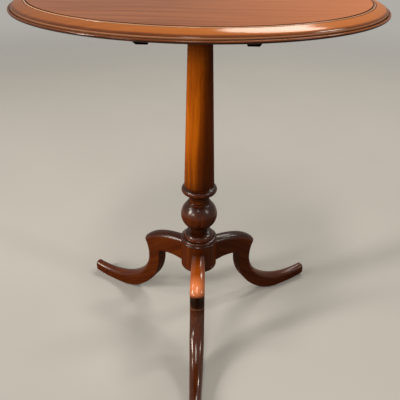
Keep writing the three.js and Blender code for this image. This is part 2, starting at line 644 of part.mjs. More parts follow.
// A flat bar, its tip sloped on the lower side so that it rides into the strike
function catchBolt() {
  const low = BOLT_TOP - BOLT_HEIGHT;
  const slope = BOLT_HEIGHT / 2;
  const outline = [
    point(BOLT_TIP - BOLT_LENGTH, low),
    point(BOLT_TIP - slope, low),
    point(BOLT_TIP, low + slope),
    point(BOLT_TIP, BOLT_TOP),
    point(BOLT_TIP - BOLT_LENGTH, BOLT_TOP),
  ];
  const hole = drill(KNOB_STEM_RADIUS + FIT, low - 1, BOLT_TOP + 1, SCREW_SIDES).translate(0, KNOB_Y, 0);
  return surface(cut(solid(carriedAlongX(outline, BOLT_WIDTH, 0)), [hole]));
}

function catchKnob() {
  const top = SEAT - CASE_DEPTH - RUNNING;
  const foot = top - KNOB_LENGTH;
  const waist = KNOB_RADIUS / 2;
  return surface(solid(turned([
    [0, foot],
    ...arc(0, foot + KNOB_RADIUS, KNOB_RADIUS, -60, 40, 5),
    [waist, top - waist / 2],
    [waist, top],
    [KNOB_STEM_RADIUS, top],
    [KNOB_STEM_RADIUS, BOLT_TOP - FIT],
    [0, BOLT_TOP - FIT],
  ], SCREW_SIDES * 2)));
}

// A bowed leaf that bears on the bolt; its ends lie against the board.
function catchSpring() {
  const middle = CASE_FRONT - CASE_LENGTH / 2;
  const half = CASE_LENGTH / 2 - CASE_NOSE;
  const bow = SPRING_SPACE - SPRING_THICKNESS - 2 * RUNNING;
  const upper = Array.from({ length: CURVE_STEPS + 1 }, (_, i) => {
    const along = 1 - (2 * i) / CURVE_STEPS;
    return point(middle + along * half, SEAT - RUNNING - bow * (1 - along ** 2));
  });
  const lower = upper.map(({ x, y }) => point(x, y - SPRING_THICKNESS)).reverse();
  return surface(solid(carriedAlongX([...upper, ...lower], BOLT_WIDTH - 2 * RUNNING, 0)));
}

// ---------------------------------------------------------------- the assembly

const MAHOGANY = { color: 0x7c3a1c, roughness: 0.3, metalness: 0 };
const DEAL = { color: 0x6b4328, roughness: 0.75, metalness: 0 };
const BRASS = { color: 0xb08d46, roughness: 0.35, metalness: 1 };
const IRON = { color: 0x3a3734, roughness: 0.6, metalness: 1 };
const STEEL = { color: 0x7d7a75, roughness: 0.45, metalness: 1 };

const group = new THREE.Group();

function piece(name, geometry, finish, parent = group) {
  const mesh = new THREE.Mesh(geometry, new THREE.MeshStandardMaterial(finish));
  mesh.name = name;
  parent.add(mesh);
  return mesh;
}

// Base
piece('column', column(), MAHOGANY);
piece('column_wedge', surface(solid(wedgeGeometry(0, 2 * (TENON_RADIUS - 1)))), DEAL);
piece('pivot_block', pivotBlock(), DEAL);
Object.entries(LEG_AZIMUTHS).forEach(([name, azimuth]) => {
  piece(`leg_${name}`, leg(), MAHOGANY).rotation.z = azimuth;
});
piece('strap_plate', strapPlate(), IRON);
plateScrewPlaces().forEach((place, i) => {
  piece(`strap_screw_${i + 1}`, screw(PLATE_SCREW), STEEL).position.set(...place);
});
piece('strike_plate', strikePlate(), BRASS);
[-STRIKE_SCREW_OFFSET, STRIKE_SCREW_OFFSET].forEach((x, i) => {
  const mesh = piece(`strike_screw_${i + 1}`, screw(STRIKE_SCREW), BRASS);
  mesh.rotation.x = -Math.PI / 2;
  mesh.position.set(x, -BLOCK_FRONT, BOLT_MIDDLE);
});

// Tilting top
const top = new THREE.Group();
group.add(top);
piece('table_top', tableTop(), MAHOGANY, top);
Object.entries({ left: -BEARER_OFFSET, right: BEARER_OFFSET }).forEach(([side, x]) => {
  piece(`bearer_${side}`, bearer(x), DEAL, top);
  bearerScrewPlaces(x).forEach((place, i) => {
    piece(`bearer_screw_${side}_${i + 1}`, screw(TOP_SCREW), STEEL, top).position.set(...place);
  });
});
piece('catch_case', catchCase(), BRASS, top);
piece('catch_spring', catchSpring(), STEEL, top);
caseScrewPlaces().forEach((place, i) => {
  piece(`catch_screw_${i + 1}`, screw(BRASS_SCREW), BRASS, top).position.set(...place);
});
piece('catch_bolt', catchBolt(), BRASS, top);
piece('catch_knob', catchKnob(), BRASS, top).position.y = KNOB_Y;

export default group;
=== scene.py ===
"""Tilt-top tripod table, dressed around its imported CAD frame.

Metres, +Z up, origin on the floor under the column. The single leg points to -Y. Wooden pieces
carry a point attribute, "grain": the place of a point measured with X along the grain.
"""

import json
import math

import bmesh
import bpy
import numpy as np
from bpy.props import FloatProperty, FloatVectorProperty, IntProperty, PointerProperty
from bpy.types import Operator, Panel, PropertyGroup
from mathutils import Matrix, Vector


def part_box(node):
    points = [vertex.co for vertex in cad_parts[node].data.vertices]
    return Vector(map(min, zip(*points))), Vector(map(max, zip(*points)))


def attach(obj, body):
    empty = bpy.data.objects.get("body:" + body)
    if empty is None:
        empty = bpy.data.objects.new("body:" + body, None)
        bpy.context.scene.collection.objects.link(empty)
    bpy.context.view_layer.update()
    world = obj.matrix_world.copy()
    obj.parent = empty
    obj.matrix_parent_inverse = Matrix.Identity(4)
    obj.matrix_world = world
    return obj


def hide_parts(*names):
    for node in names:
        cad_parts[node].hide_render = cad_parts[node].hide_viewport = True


bl_info = {
    "name": "Tilt Top Table",
    "version": (1, 0, 0),
    "blender": (4, 5, 0),
    "location": "3D View > Sidebar > Table",
    "description": "Builds a moulded, turned and carved tilt-top tripod table around its CAD frame",
    "category": "Add Mesh",
}

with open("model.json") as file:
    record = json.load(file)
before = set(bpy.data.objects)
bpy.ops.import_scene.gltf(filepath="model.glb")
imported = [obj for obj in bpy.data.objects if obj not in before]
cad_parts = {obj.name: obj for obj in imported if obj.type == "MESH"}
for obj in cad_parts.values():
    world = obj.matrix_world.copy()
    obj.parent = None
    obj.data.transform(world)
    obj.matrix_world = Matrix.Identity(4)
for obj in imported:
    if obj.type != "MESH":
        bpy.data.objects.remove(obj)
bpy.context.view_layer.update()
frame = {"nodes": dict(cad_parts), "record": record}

# ---------------------------------------------------------------- places taken from the frame

BOARD_LOW, BOARD_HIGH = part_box("table_top")
COLUMN_LOW, COLUMN_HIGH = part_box("column")
BLOCK_LOW, BLOCK_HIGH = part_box("pivot_block")
KNOB_LOW, KNOB_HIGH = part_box("catch_knob")

TABLE_HEIGHT = BOARD_HIGH.z
TOP_RADIUS = BOARD_HIGH.x
DRUM_RADIUS = COLUMN_HIGH.x
DRUM_BOTTOM = COLUMN_LOW.z
LEG_REACH = -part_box("leg_front")[0].y

FRONT_LEG, RIGHT_LEG, LEFT_LEG = -math.pi / 2, math.pi / 6, 5 * math.pi / 6
MM = 0.001
MERGED = 1e-6  # points nearer than this become one
SLIVER = 1e-7  # edges shorter than this are taken out
FLAT, SHARP = math.radians(0.5), math.radians(30.0)  # faces at less are one, at more are eased
BOARD_BASE = (BOARD_LOW.z - 0.01 * MM, BOARD_LOW.z + 0.01 * MM)  # heights of its raw underside
SHAFT = (353 * MM, 668 * MM)  # heights between which the column has the shaft's finish


# ---------------------------------------------------------------- sizes and colours


def lengths(**sizes):
    """Length properties from rows of millimetres and description, kept in metres"""
    return {
        key: FloatProperty(
            name=spoken(key),
            description=description,
            default=millimetres * MM,
            min=0.0,
            precision=5,
            unit="LENGTH",
        )
        for key, (millimetres, description) in sizes.items()
    }


def spoken(key):
    """A key as a name to read"""
    return key.replace("_", " ").capitalize()


def colour(name, description, value):
    """A linear colour"""
    return FloatVectorProperty(
        name=name,
        description=description,
        default=value,
        min=0.0,
        max=1.0,
        size=3,
        subtype="COLOR",
    )


def rotation(name, description, degrees):
    """An angle given in degrees and kept in radians"""
    return FloatProperty(
        name=name,
        description=description,
        default=math.radians(degrees),
        subtype="ANGLE",
        unit="ROTATION",
    )


def facets(description, count, least):
    """How many sides a turned piece has"""
    return {"sides": IntProperty(name="Sides", description=description, default=count, min=least)}


class TopBoardSizes(PropertyGroup):
    """The round board and the moulding worked on its edge"""

    __annotations__ = lengths(
        moulding_width=(29.6, "From the edge in to the quirk"),
        quirk_width=(1.3, "Width of the fine groove round the field"),
        bead_radius=(1.5, "Radius of the small half-round bead in the quirk"),
        bead_sunk=(0.5, "How far the bead's crest lies below the flat field"),
        outer_quirk_width=(1.0, "From the bead to the ovolo"),
        ovolo_start=(1.4, "Flat field to the ovolo's inner edge"),
        ovolo_drop=(9.0, "Flat field to the ovolo's outer edge"),
        fillet_height=(1.6, "Upright fillet below the ovolo"),
        fillet_width=(0.6, "How far the fillet stands out"),
        nosing_gap=(0.9, "From the fillet down to the nosing's crest"),
        nosing_radius=(2.1, "Radius of the half-round outer edge"),
        undercut_width=(20.0, "Bevel under the edge"),
    ) | facets("Facets round the board", 288, 32)


class ColumnSizes(PropertyGroup):
    """The turned column, from its foot up"""

    __annotations__ = lengths(
        drum_height=(69.5, "Height of the drum that takes the legs"),
        drum_edge=(4.0, "Rounding of the drum's foot"),
        scribe=(0.9, "Width of the lines scribed on drum and shaft"),
        collar_bead=(4.3, "Radius of the bead on the drum"),
        collar_step_radius=(33.4, "Small step over the bead"),
        collar_step_height=(2.2, "Height of that step"),
        dome_height=(11.5, "Rise from the step to the lower neck"),
        lower_neck_radius=(18.0, "Neck under the ball"),
        lower_neck_height=(9.5, "Height of that neck"),
        ball_radius=(38.9, "Radius of the ball seen from above"),
        ball_half_height=(36.6, "Half the height of the full ball"),
        ball_fillet=(3.2, "Small square ring on the ball's crown"),
        upper_neck_radius=(21.0, "Neck over the ball"),
        upper_neck_height=(11.5, "Height of that neck"),
        flare_height=(9.5, "From the upper neck out to the ring"),
        ring_radius=(37.4, "The large ring at the shaft's foot"),
        ring_bead=(7.8, "Radius of the ring's section"),
        shaft_foot=(31.5, "Radius of the shaft where it leaves the ring"),
        shaft_head=(23.2, "Radius of the shaft under the astragal"),
        astragal=(25.6, "Radius of the small ring near the head"),
        astragal_height=(7.0, "Height of that ring"),
        cap_neck=(7.0, "Height of the plain neck over the astragal"),
        cap_cove=(14.0, "Height of the cove that opens to the cap"),
        cap_fillet=(6.4, "Height of the cap's square edge"),
        cap_radius=(34.0, "Radius of the cap"),
        tenon_radius=(20.0, "Tenon that passes up through the block"),
    ) | facets("Facets round the column", 144, 24)


class LegSizes(PropertyGroup):
    """One leg, seen from the side as distance from the axis and height"""

    __annotations__ = lengths(
        root_width=(29.0, "Width where the leg leaves the drum"),
        knee_width=(31.0, "Width at the knee"),
        toe_width=(19.5, "Width at the toe"),
        rise=(3.5, "Drum's foot to the under edge of the leg"),
        hip_depth=(57.0, "Height of the leg at the drum"),
        knee_radius=(147.5, "Axis to the knee's point"),
        knee_drop=(36.5, "Top of the hip to the knee's point"),
        shin_radius=(136.2, "Axis to the hollow below the knee"),
        shin_drop=(43.0, "Knee's point to the middle of that hollow"),
        shank=(34.2, "Thickness across that hollow"),
        arch_corner=(2.0, "Step of the squared inner corner"),
        heel_radius=(162.0, "Axis to the point where the sole lifts"),
        heel_height=(24.0, "Height of that point"),
        pad_radius=(252.0, "Axis to the middle of the flat on the floor"),
        pad_length=(24.0, "Length of that flat"),
        toe_height=(31.0, "Top of the toe"),
        toe_corner=(5.0, "Rounding of the toe's upper corner"),
        toe_low=(6.0, "Height of the lower corner of the toe's blunt end"),
        toe_lean=(1.0, "How far that corner stands back"),
        toe_round=(3.5, "Rounding of the toe seen from above"),
        crown=(10.5, "Height of the arch across the leg's upper side"),
        under_edge=(2.2, "Rounding along its lower edges"),
        knee_ease=(1.6, "Wear that softens the knee's point"),
    )


class FittingSizes(PropertyGroup):
    """Screws, brass catch and iron plate"""

    __annotations__ = lengths(
        wood_ease=(1.0, "Softened edges of bearers and block"),
        brass_ease=(0.35, "Softened edges of the catch"),
        iron_ease=(0.6, "Softened edges of the strap plate"),
    ) | {
        key: FloatProperty(
            name=spoken(key), description=f"{spoken(key)} as a share of the head's radius",
            default=share, min=0.05, max=most, subtype="FACTOR",
        )
        for key, share, most in (("slot_width", 0.22, 0.6), ("slot_depth", 0.3, 0.8))
    }


TONES = {"dark": "Darkest streaks", "mid": "Ground colour", "light": "Lightest streaks"}
# Each wood's place, and its darkest streaks, ground colour and lightest streaks
WOODS = {
    "top": ("the top", (0.165, 0.040, 0.009), (0.258, 0.080, 0.027), (0.400, 0.120, 0.030)),
    "base": ("the base", (0.042, 0.007, 0.001), (0.082, 0.014, 0.001), (0.135, 0.028, 0.002)),
    # The shaft's colours are the base wood painted lighter: painted light where the low lamps fall
    "shaft": ("the shaft", (0.150, 0.030, 0.002), (0.410, 0.084, 0.002), (0.580, 0.140, 0.003)),
    # The underframe's colours are painted near black: painted shade, as under the top
    "deal": (
        "the underframe",
        (0.004, 0.0022, 0.001), (0.009, 0.0045, 0.0022), (0.020, 0.010, 0.005),
    ),
    "raw": (
        "the board's raw underside",
        (0.036, 0.017, 0.008), (0.085, 0.040, 0.021), (0.140, 0.072, 0.036),
    ),
}
METAL_COLOURS = {
    "brass": ("Rubbed brass", (0.500, 0.300, 0.090)),
    "brass_dull": ("Brass gone brown in the corners", (0.190, 0.105, 0.035)),
    "iron": ("Blackened iron", (0.030, 0.027, 0.025)),
    "rust": ("Brown bloom on the iron", (0.080, 0.034, 0.016)),
    "steel": ("Dull screw heads", (0.190, 0.180, 0.165)),
}


class FinishColours(PropertyGroup):
    """Colours of the woods and metals"""

    __annotations__ = {
        f"{name}_{tone}": colour(spoken(f"{name}_{tone}"), f"{TONES[tone]} of {place}", value)
        for name, (place, *values) in WOODS.items()
        for tone, value in zip(TONES, values)
    } | {
        name: colour(spoken(name), description, value)
        for name, (description, value) in METAL_COLOURS.items()
    }


class StageSizes(PropertyGroup):
    """Camera, lamps, floor and backdrop"""

    camera_place: FloatVectorProperty(
        name="Camera place", description="Where the camera stands",
        default=(0.01716, -0.89388, 0.8321), size=3, subtype="TRANSLATION", unit="LENGTH",
    )
    camera_tilt: rotation("Camera tilt", "How far the camera looks down", 30.1)
    camera_turn: rotation("Camera turn", "How far the camera looks to the right", 0.27)
    camera_roll: rotation("Camera roll", "How far the camera leans", 1.14)
    lens: FloatProperty(name="Lens", description="Focal length in mm", default=43.7175, min=10)
    shift: FloatProperty(
        name="Shift", description="Sideways shift of the picture",
        default=-0.02305, min=-0.2, max=0.2,
    )
    floor_colour: colour("Floor", "The plain floor", (0.455, 0.445, 0.42))
    floor_bounce: FloatProperty(
        name="Floor bounce", default=0.4, min=0.0, max=1.0,
        description="Share of its colour that the floor throws back on the table",
    )
    horizon: colour("Horizon", "The surroundings as the eye sees them", (0.43, 0.415, 0.385))
    backdrop: colour("Backdrop", "Light that the surroundings give", (0.80, 0.80, 0.80))
    backdrop_strength: FloatProperty(
        name="Backdrop strength", description="Light that comes from the surroundings",
        default=0.15, min=0.0, max=2.0,
    )


# ---------------------------------------------------------------- lines and curves


def line(start, end, steps=1):
    """Points from one place to another: start plus even shares of the way"""
    share = np.linspace(0.0, 1.0, steps + 1)[:, None]
    return np.array(start) + share * (np.array(end) - np.array(start))


def arc(centre, size, start, end, steps, stretch=1.0):
    """Points of an arc: centre plus size times (cosine, sine) of even angles, heights stretched"""
    angle = np.radians(np.linspace(start, end, steps + 1))
    return np.array(centre) + size * np.column_stack([np.cos(angle), stretch * np.sin(angle)])


def bend(start, end, leave, arrive, pull_out, pull_in, steps):
    """A cubic curve that leaves and arrives on headings, its handles given as chord shares"""
    start, end = np.array(start, float), np.array(end, float)
    chord = np.linalg.norm(end - start)
    out = start + pull_out * chord * heading(leave)
    into = end - pull_in * chord * heading(arrive)
    t = np.linspace(0.0, 1.0, steps + 1)[:, None]
    leaving = (1 - t) ** 3 * start + 3 * (1 - t) ** 2 * t * out
    return leaving + 3 * (1 - t) * t**2 * into + t**3 * end


def heading(degrees):
    """The unit step on a heading"""
    return np.array([math.cos(math.radians(degrees)), math.sin(math.radians(degrees))])


def joined(*stretches):
    """One line from several, with repeated points left out"""
    points = np.concatenate(stretches)
    keep = np.linalg.norm(np.diff(points, axis=0), axis=1) > MERGED
    return points[np.concatenate([[True], keep])]


def respaced(points, count, closer=1.0):
    """The same line with other points, read off against distance travelled.

    They are even, or, where closer is over 1, they draw together towards the line's end.
    """
    step = np.linalg.norm(np.diff(points, axis=0), axis=1)
    travelled = np.concatenate([[0.0], np.cumsum(step)])
    wanted = travelled[-1] * (1 - np.linspace(1.0, 0.0, count) ** closer)
    return np.column_stack([np.interp(wanted, travelled, points[:, i]) for i in range(2)])


# ---------------------------------------------------------------- surfaces


def ring_faces(rows, columns):
    """Quads of a grid whose columns close on themselves, each row index over the last"""
    row, column = np.meshgrid(np.arange(rows - 1), np.arange(columns), indexing="ij")
    after = (column + 1) % columns
    quads = [row * columns + column, row * columns + after]
    quads += [(row + 1) * columns + after, (row + 1) * columns + column]
    return np.stack(quads, axis=-1).reshape(-1, 4)


def turned_surface(profile, sides):
    """Turned shape: a point (r, z) of the half section goes to (r cos a, r sin a, z).

    The section runs from the axis, out and back to it, bottom first; both poles are one point.
    """
    angle = np.linspace(0.0, 2 * math.pi, sides, endpoint=False)
    radius, height = profile[1:-1, 0], profile[1:-1, 1]
    points = np.stack([
        radius[:, None] * np.cos(angle),
        radius[:, None] * np.sin(angle),
        np.repeat(height[:, None], sides, axis=1),
    ], axis=-1).reshape(-1, 3)
    foot, head = len(points), len(points) + 1
    points = np.vstack([points, [0.0, 0.0, profile[0, 1]], [0.0, 0.0, profile[-1, 1]]])
    here = np.arange(sides)
    after = (here + 1) % sides
    last = (len(radius) - 1) * sides
    bottom = np.column_stack([np.full(sides, foot), after, here])
    top = np.column_stack([np.full(sides, head), last + here, last + after])
    return points, ring_faces(len(radius), sides).tolist() + bottom.tolist() + top.tolist()


def mesh_from(name, points, faces):
    """A mesh with its doubled points merged, or an error if it isn't closed and sound"""
    mesh = bpy.data.meshes.new(name)
    mesh.from_pydata(points.tolist(), [], faces)
    form = bmesh.new()
    form.from_mesh(mesh)
    bmesh.ops.remove_doubles(form, verts=form.verts, dist=MERGED)
    bmesh.ops.dissolve_degenerate(form, edges=form.edges, dist=SLIVER)
    bmesh.ops.recalc_face_normals(form, faces=form.faces)
    open_edges = sum(1 for edge in form.edges if not edge.is_manifold)
    form.to_mesh(mesh)
    form.free()
    if open_edges:
        raise RuntimeError(f"{name} has {open_edges} open edges")
    return mesh


def turned_mesh(name, profile, sides):
    """A turned shape as a mesh"""
    return mesh_from(name, *turned_surface(profile, sides))


def places(mesh):
    """All points of a mesh as one array"""
    flat = np.empty(len(mesh.vertices) * 3, np.float32)
    mesh.vertices.foreach_get("co", flat)
    return flat.reshape(-1, 3)


def set_grain(mesh, along, across, origin=(0.0, 0.0, 0.0)):
    """The grain attribute: each point measured on three square axes, the first along the grain"""
    first = np.array(along, float) / np.linalg.norm(along)
    second = np.array(across, float) - np.dot(across, first) * first
    second /= np.linalg.norm(second)
    axes = np.stack([first, second, np.cross(first, second)])
    measured = (places(mesh) - np.array(origin)) @ axes.T
    attribute = mesh.attributes.new("grain", "FLOAT_VECTOR", "POINT")
    attribute.data.foreach_set("vector", measured.astype(np.float32).ravel())


def set_smooth(mesh, degrees):
    """Smooth shading, with edges kept crisp where faces meet more sharply than this"""
    mesh.shade_smooth()
    mesh.set_sharp_from_angle(angle=math.radians(degrees))


def put(name, data):
    """A new object in the scene"""
    made = bpy.data.objects.new(name, data)
    bpy.context.scene.collection.objects.link(made)
    return made


def finished_piece(mesh, body, replaced, slot, *materials):
    """Puts a mesh into the scene as a piece that rides on a body and stands for CAD nodes"""
    piece = put(mesh.name, mesh)
    mesh.materials.clear()
    for material in materials:
        mesh.materials.append(material)
    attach(piece, body)
    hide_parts(*replaced)
    return piece


def frame_copy(name, node, shortest):
    """A copy of a CAD node with whole flat faces, and bevel weights on its long sharp edges.

    An edge is weighted where its faces meet at more than SHARP and it is longer than the
    shortest length.
    """
    mesh = frame["nodes"][node].data.copy()
    mesh.name = name
    form = bmesh.new()
    form.from_mesh(mesh)
    bmesh.ops.remove_doubles(form, verts=form.verts, dist=MERGED)
    bmesh.ops.dissolve_limit(form, angle_limit=FLAT, verts=form.verts, edges=form.edges)
    weight = form.edges.layers.float.new("bevel_weight_edge")
    for edge in form.edges:
        sharp = edge.is_manifold and edge.calc_face_angle() > SHARP
        edge[weight] = 1.0 if sharp and edge.calc_length() > shortest else 0.0
    form.to_mesh(mesh)
    form.free()
    return mesh


def eased_piece(name, node, body, slot, material, ease, shortest, grain=None):
    """A CAD node's own form with softened edges: the bevel is a modifier as wide as ease"""
    mesh = frame_copy(name, node, shortest)
    if grain:
        set_grain(mesh, *grain)
    set_smooth(mesh, 30)
    piece = finished_piece(mesh, body, [node], slot, material)
    bevel = piece.modifiers.new("Eased edges", "BEVEL")
    bevel.limit_method = "WEIGHT"
    bevel.width = ease
    bevel.segments = 3
    bevel.use_clamp_overlap = True
    bevel.harden_normals = False
    return piece


def use_second_finish(mesh, low, high):
    """Gives a mesh's second material to the faces whose middles lie between two heights"""
    heights = np.array([face.center.z for face in mesh.polygons])
    chosen = (heights > low) & (heights < high)
    mesh.polygons.foreach_set("material_index", chosen.astype(np.int32))


# ---------------------------------------------------------------- the turned pieces


def top_board_profile(s):
    """Half section of the board, from the middle of its underside round the edge to its face.

    Straight lines for the flats and the fillet, arcs for the nosing and the small bead, and a
    cubic for the ovolo that swells between them.
    """
    high, low = TABLE_HEIGHT, BOARD_LOW.z
    ease = 0.15 * MM
    quirk = TOP_RADIUS - s.moulding_width
    bead = quirk + s.quirk_width + s.bead_radius
    bead_foot = high - s.bead_sunk - s.bead_radius
    ovolo = bead + s.bead_radius + s.outer_quirk_width
    ovolo_top, ovolo_end = high - s.ovolo_start, high - s.ovolo_drop
    fillet_end = ovolo_end - s.fillet_height
    nosing = TOP_RADIUS - s.nosing_radius
    nosing_middle = fillet_end - s.nosing_gap - s.nosing_radius
    nosing_back = nosing_middle + s.nosing_radius / 2
    fillet = nosing - s.nosing_radius - s.fillet_width
    hollow = fillet - s.fillet_width
    under = TOP_RADIUS - s.undercut_width
    return joined(
        line((0, low), (under - ease, low), 14),
        line((under + ease, low + 0.2 * ease), (nosing, nosing_middle - s.nosing_radius), 4),
        arc((nosing, nosing_middle), s.nosing_radius, -90, 150, 26),
        line((hollow + ease, nosing_back), (hollow, nosing_back + ease)),
        line((hollow, fillet_end - ease), (hollow + ease, fillet_end)),
        line((fillet - ease, fillet_end), (fillet, fillet_end + ease)),
        line((fillet, ovolo_end - 2 * ease), (fillet - 2 * ease, ovolo_end)),
        line((hollow + ease, ovolo_end), (hollow, ovolo_end + ease / 2)),
        bend((hollow - ease / 2, ovolo_end + ease), (ovolo + ease, ovolo_top),
             125, 163, 0.2, 0.4, 26),
        line((ovolo, ovolo_top - ease), (ovolo, bead_foot + ease)),
        line((ovolo - ease, bead_foot), (bead + s.bead_radius + ease, bead_foot)),
        arc((bead, bead_foot), s.bead_radius, 0, 180, 14),
        line((bead - s.bead_radius - ease, bead_foot), (quirk + ease, bead_foot)),
        line((quirk, bead_foot + ease), (quirk, high - 2 * ease)),
        line((quirk - 2 * ease, high), (0, high), 22),
    )


def groove(radius, height, width, depth):
    """A scribed line round a turned face: in, across and out again"""
    half = width / 2
    return np.array([
        (radius, height - half), (radius - depth, height - half / 3),
        (radius - depth, height + half / 3), (radius, height + half),
    ])


def column_profile(s):
    """Half section of the column, from the drum's foot to the top of its tenon.

    Arcs for the beads and the ball, cubics for the dome, the flare and the cap's cove.
    """
    head = BLOCK_HIGH.z - 0.1 * MM
    shoulder = BLOCK_LOW.z - 0.3 * MM
    bead_middle = DRUM_BOTTOM + s.drum_height + s.collar_bead
    dome_foot = bead_middle + s.collar_bead + s.collar_step_height
    neck_foot = dome_foot + s.dome_height
    squash = s.ball_half_height / s.ball_radius
    crown = s.upper_neck_radius + s.ball_fillet
    lowest = math.degrees(math.acos(s.lower_neck_radius / s.ball_radius))
    highest = math.degrees(math.acos(crown / s.ball_radius))
    rise = s.ball_half_height * math.sin(math.radians(lowest))
    ball_middle = neck_foot + s.lower_neck_height + rise
    ball_top = ball_middle + s.ball_half_height * math.sin(math.radians(highest))
    flare_foot = ball_top + s.ball_fillet + s.upper_neck_height
    ring_core = s.ring_radius - s.ring_bead
    ring_middle = flare_foot + s.flare_height + s.ring_bead
    shaft_foot = ring_middle + s.ring_bead
    cap_low = shoulder - s.cap_fillet
    cove_low = cap_low - s.cap_cove
    astragal_top = cove_low - s.cap_neck
    astragal_low = astragal_top - s.astragal_height
    drum_top = DRUM_BOTTOM + s.drum_height
    step, neck_low, neck_high = s.collar_step_radius, s.lower_neck_radius, s.upper_neck_radius
    crown_top = ball_top + s.ball_fillet
    ease = 0.5 * MM
    swell = s.astragal - s.shaft_head + ease
    return joined(
        line((0, DRUM_BOTTOM), (DRUM_RADIUS - s.drum_edge, DRUM_BOTTOM), 6),
        arc((DRUM_RADIUS - s.drum_edge, DRUM_BOTTOM + s.drum_edge), s.drum_edge, -90, 0, 8),
        groove(DRUM_RADIUS, DRUM_BOTTOM + 2.2 * s.drum_edge, s.scribe, s.scribe / 2),
        line((DRUM_RADIUS, DRUM_BOTTOM + 3 * s.drum_edge), (DRUM_RADIUS, drum_top - 5 * MM), 12),
        groove(DRUM_RADIUS, drum_top - 2.2 * MM, s.scribe, s.scribe / 2),
        arc((DRUM_RADIUS - s.collar_bead, bead_middle), s.collar_bead, -62, 88, 14),
        line((step, bead_middle + s.collar_bead - ease), (step, dome_foot - ease), 2),
        line((step - ease, dome_foot), (step - 1.2 * MM, dome_foot - 0.6 * MM)),
        bend((step - 1.5 * MM, dome_foot), (neck_low, neck_foot), 90, 150, 0.5, 0.3, 14),
        line((neck_low, neck_foot + ease), (neck_low, neck_foot + s.lower_neck_height), 5),
        arc((0, ball_middle), s.ball_radius, -lowest, highest, 44, squash),
        line((crown, ball_top + ease), (crown, crown_top - ease), 2),
        line((crown - ease, crown_top), (neck_high + ease, crown_top)),
        line((neck_high, crown_top + ease), (neck_high, flare_foot - ease), 4),
        bend((neck_high, flare_foot), (ring_core, ring_middle - s.ring_bead),
             80, 20, 0.5, 0.3, 12),
        arc((ring_core, ring_middle), s.ring_bead, -74, 82, 22),
        line((s.shaft_foot + ease, shaft_foot - 0.4 * MM),
             (s.shaft_foot - ease, shaft_foot + 0.4 * MM)),
        groove(s.shaft_foot, shaft_foot + 3 * MM, s.scribe, s.scribe / 2),
        line((s.shaft_foot - 0.2 * MM, shaft_foot + 6 * MM),
             (s.shaft_head, astragal_low - ease), 40),
        arc((s.shaft_head - ease, (astragal_low + astragal_top) / 2), swell,
            -90, 90, 10, s.astragal_height / 2 / swell),
        line((s.shaft_head, astragal_top + ease), (s.shaft_head, cove_low - ease), 2),
        bend((s.shaft_head, cove_low), (s.cap_radius - 1 * MM, cap_low), 85, 25, 0.45, 0.35, 12),
        line((s.cap_radius - ease, cap_low), (s.cap_radius, cap_low + ease)),
        line((s.cap_radius, shoulder - ease), (s.cap_radius - ease, shoulder)),
        line((s.tenon_radius + ease, shoulder), (s.tenon_radius, shoulder + ease)),
        line((s.tenon_radius, head), (0, head), 4),
    )


def knob_profile():
    """Half section of the little turned knob: a flattened ball, a waist, a flange and its stem"""
    low, high = KNOB_LOW.z, KNOB_HIGH.z
    size = KNOB_HIGH.x
    flange = low + 12 * MM
    return joined(
        line((0, low), (0.28 * size, low), 2),
        arc((0.28 * size, low + 0.2 * size), 0.2 * size, -90, -40, 3),
        arc((0, low + size), size, -52, 46, 16),
        bend((0.62 * size, low + 1.8 * size), (0.5 * size, flange - 1.2 * MM),
             160, 60, 0.4, 0.4, 6),
        line((0.62 * size, flange - 0.9 * MM), (0.62 * size, flange - 0.2 * MM)),
        line((0.55 * size, flange), (2 * MM, flange)),
        line((2 * MM, high - 0.3 * MM), (1.7 * MM, high)),
        line((1.7 * MM, high), (0, high)),
    )


# ---------------------------------------------------------------- the legs

# Points across a leg's upper or under side, in each rounded corner of the under side, and down
# each flat side between the two
ACROSS, ROUNDS, DOWN_SIDE = 23, 8, 5
# Drum's face in to the start of the hip's curve, and out to its first row and to the joint
HIP_START, FIRST_ROW, JOINT = 9 * MM, 0.4 * MM, 0.15 * MM
# Distance from the knee's point over which the arch turns to the knee's mitre
MITRE_REACH = 22 * MM
GRAIN_SLOPE = math.radians(33)  # the grain falls outwards along the leg


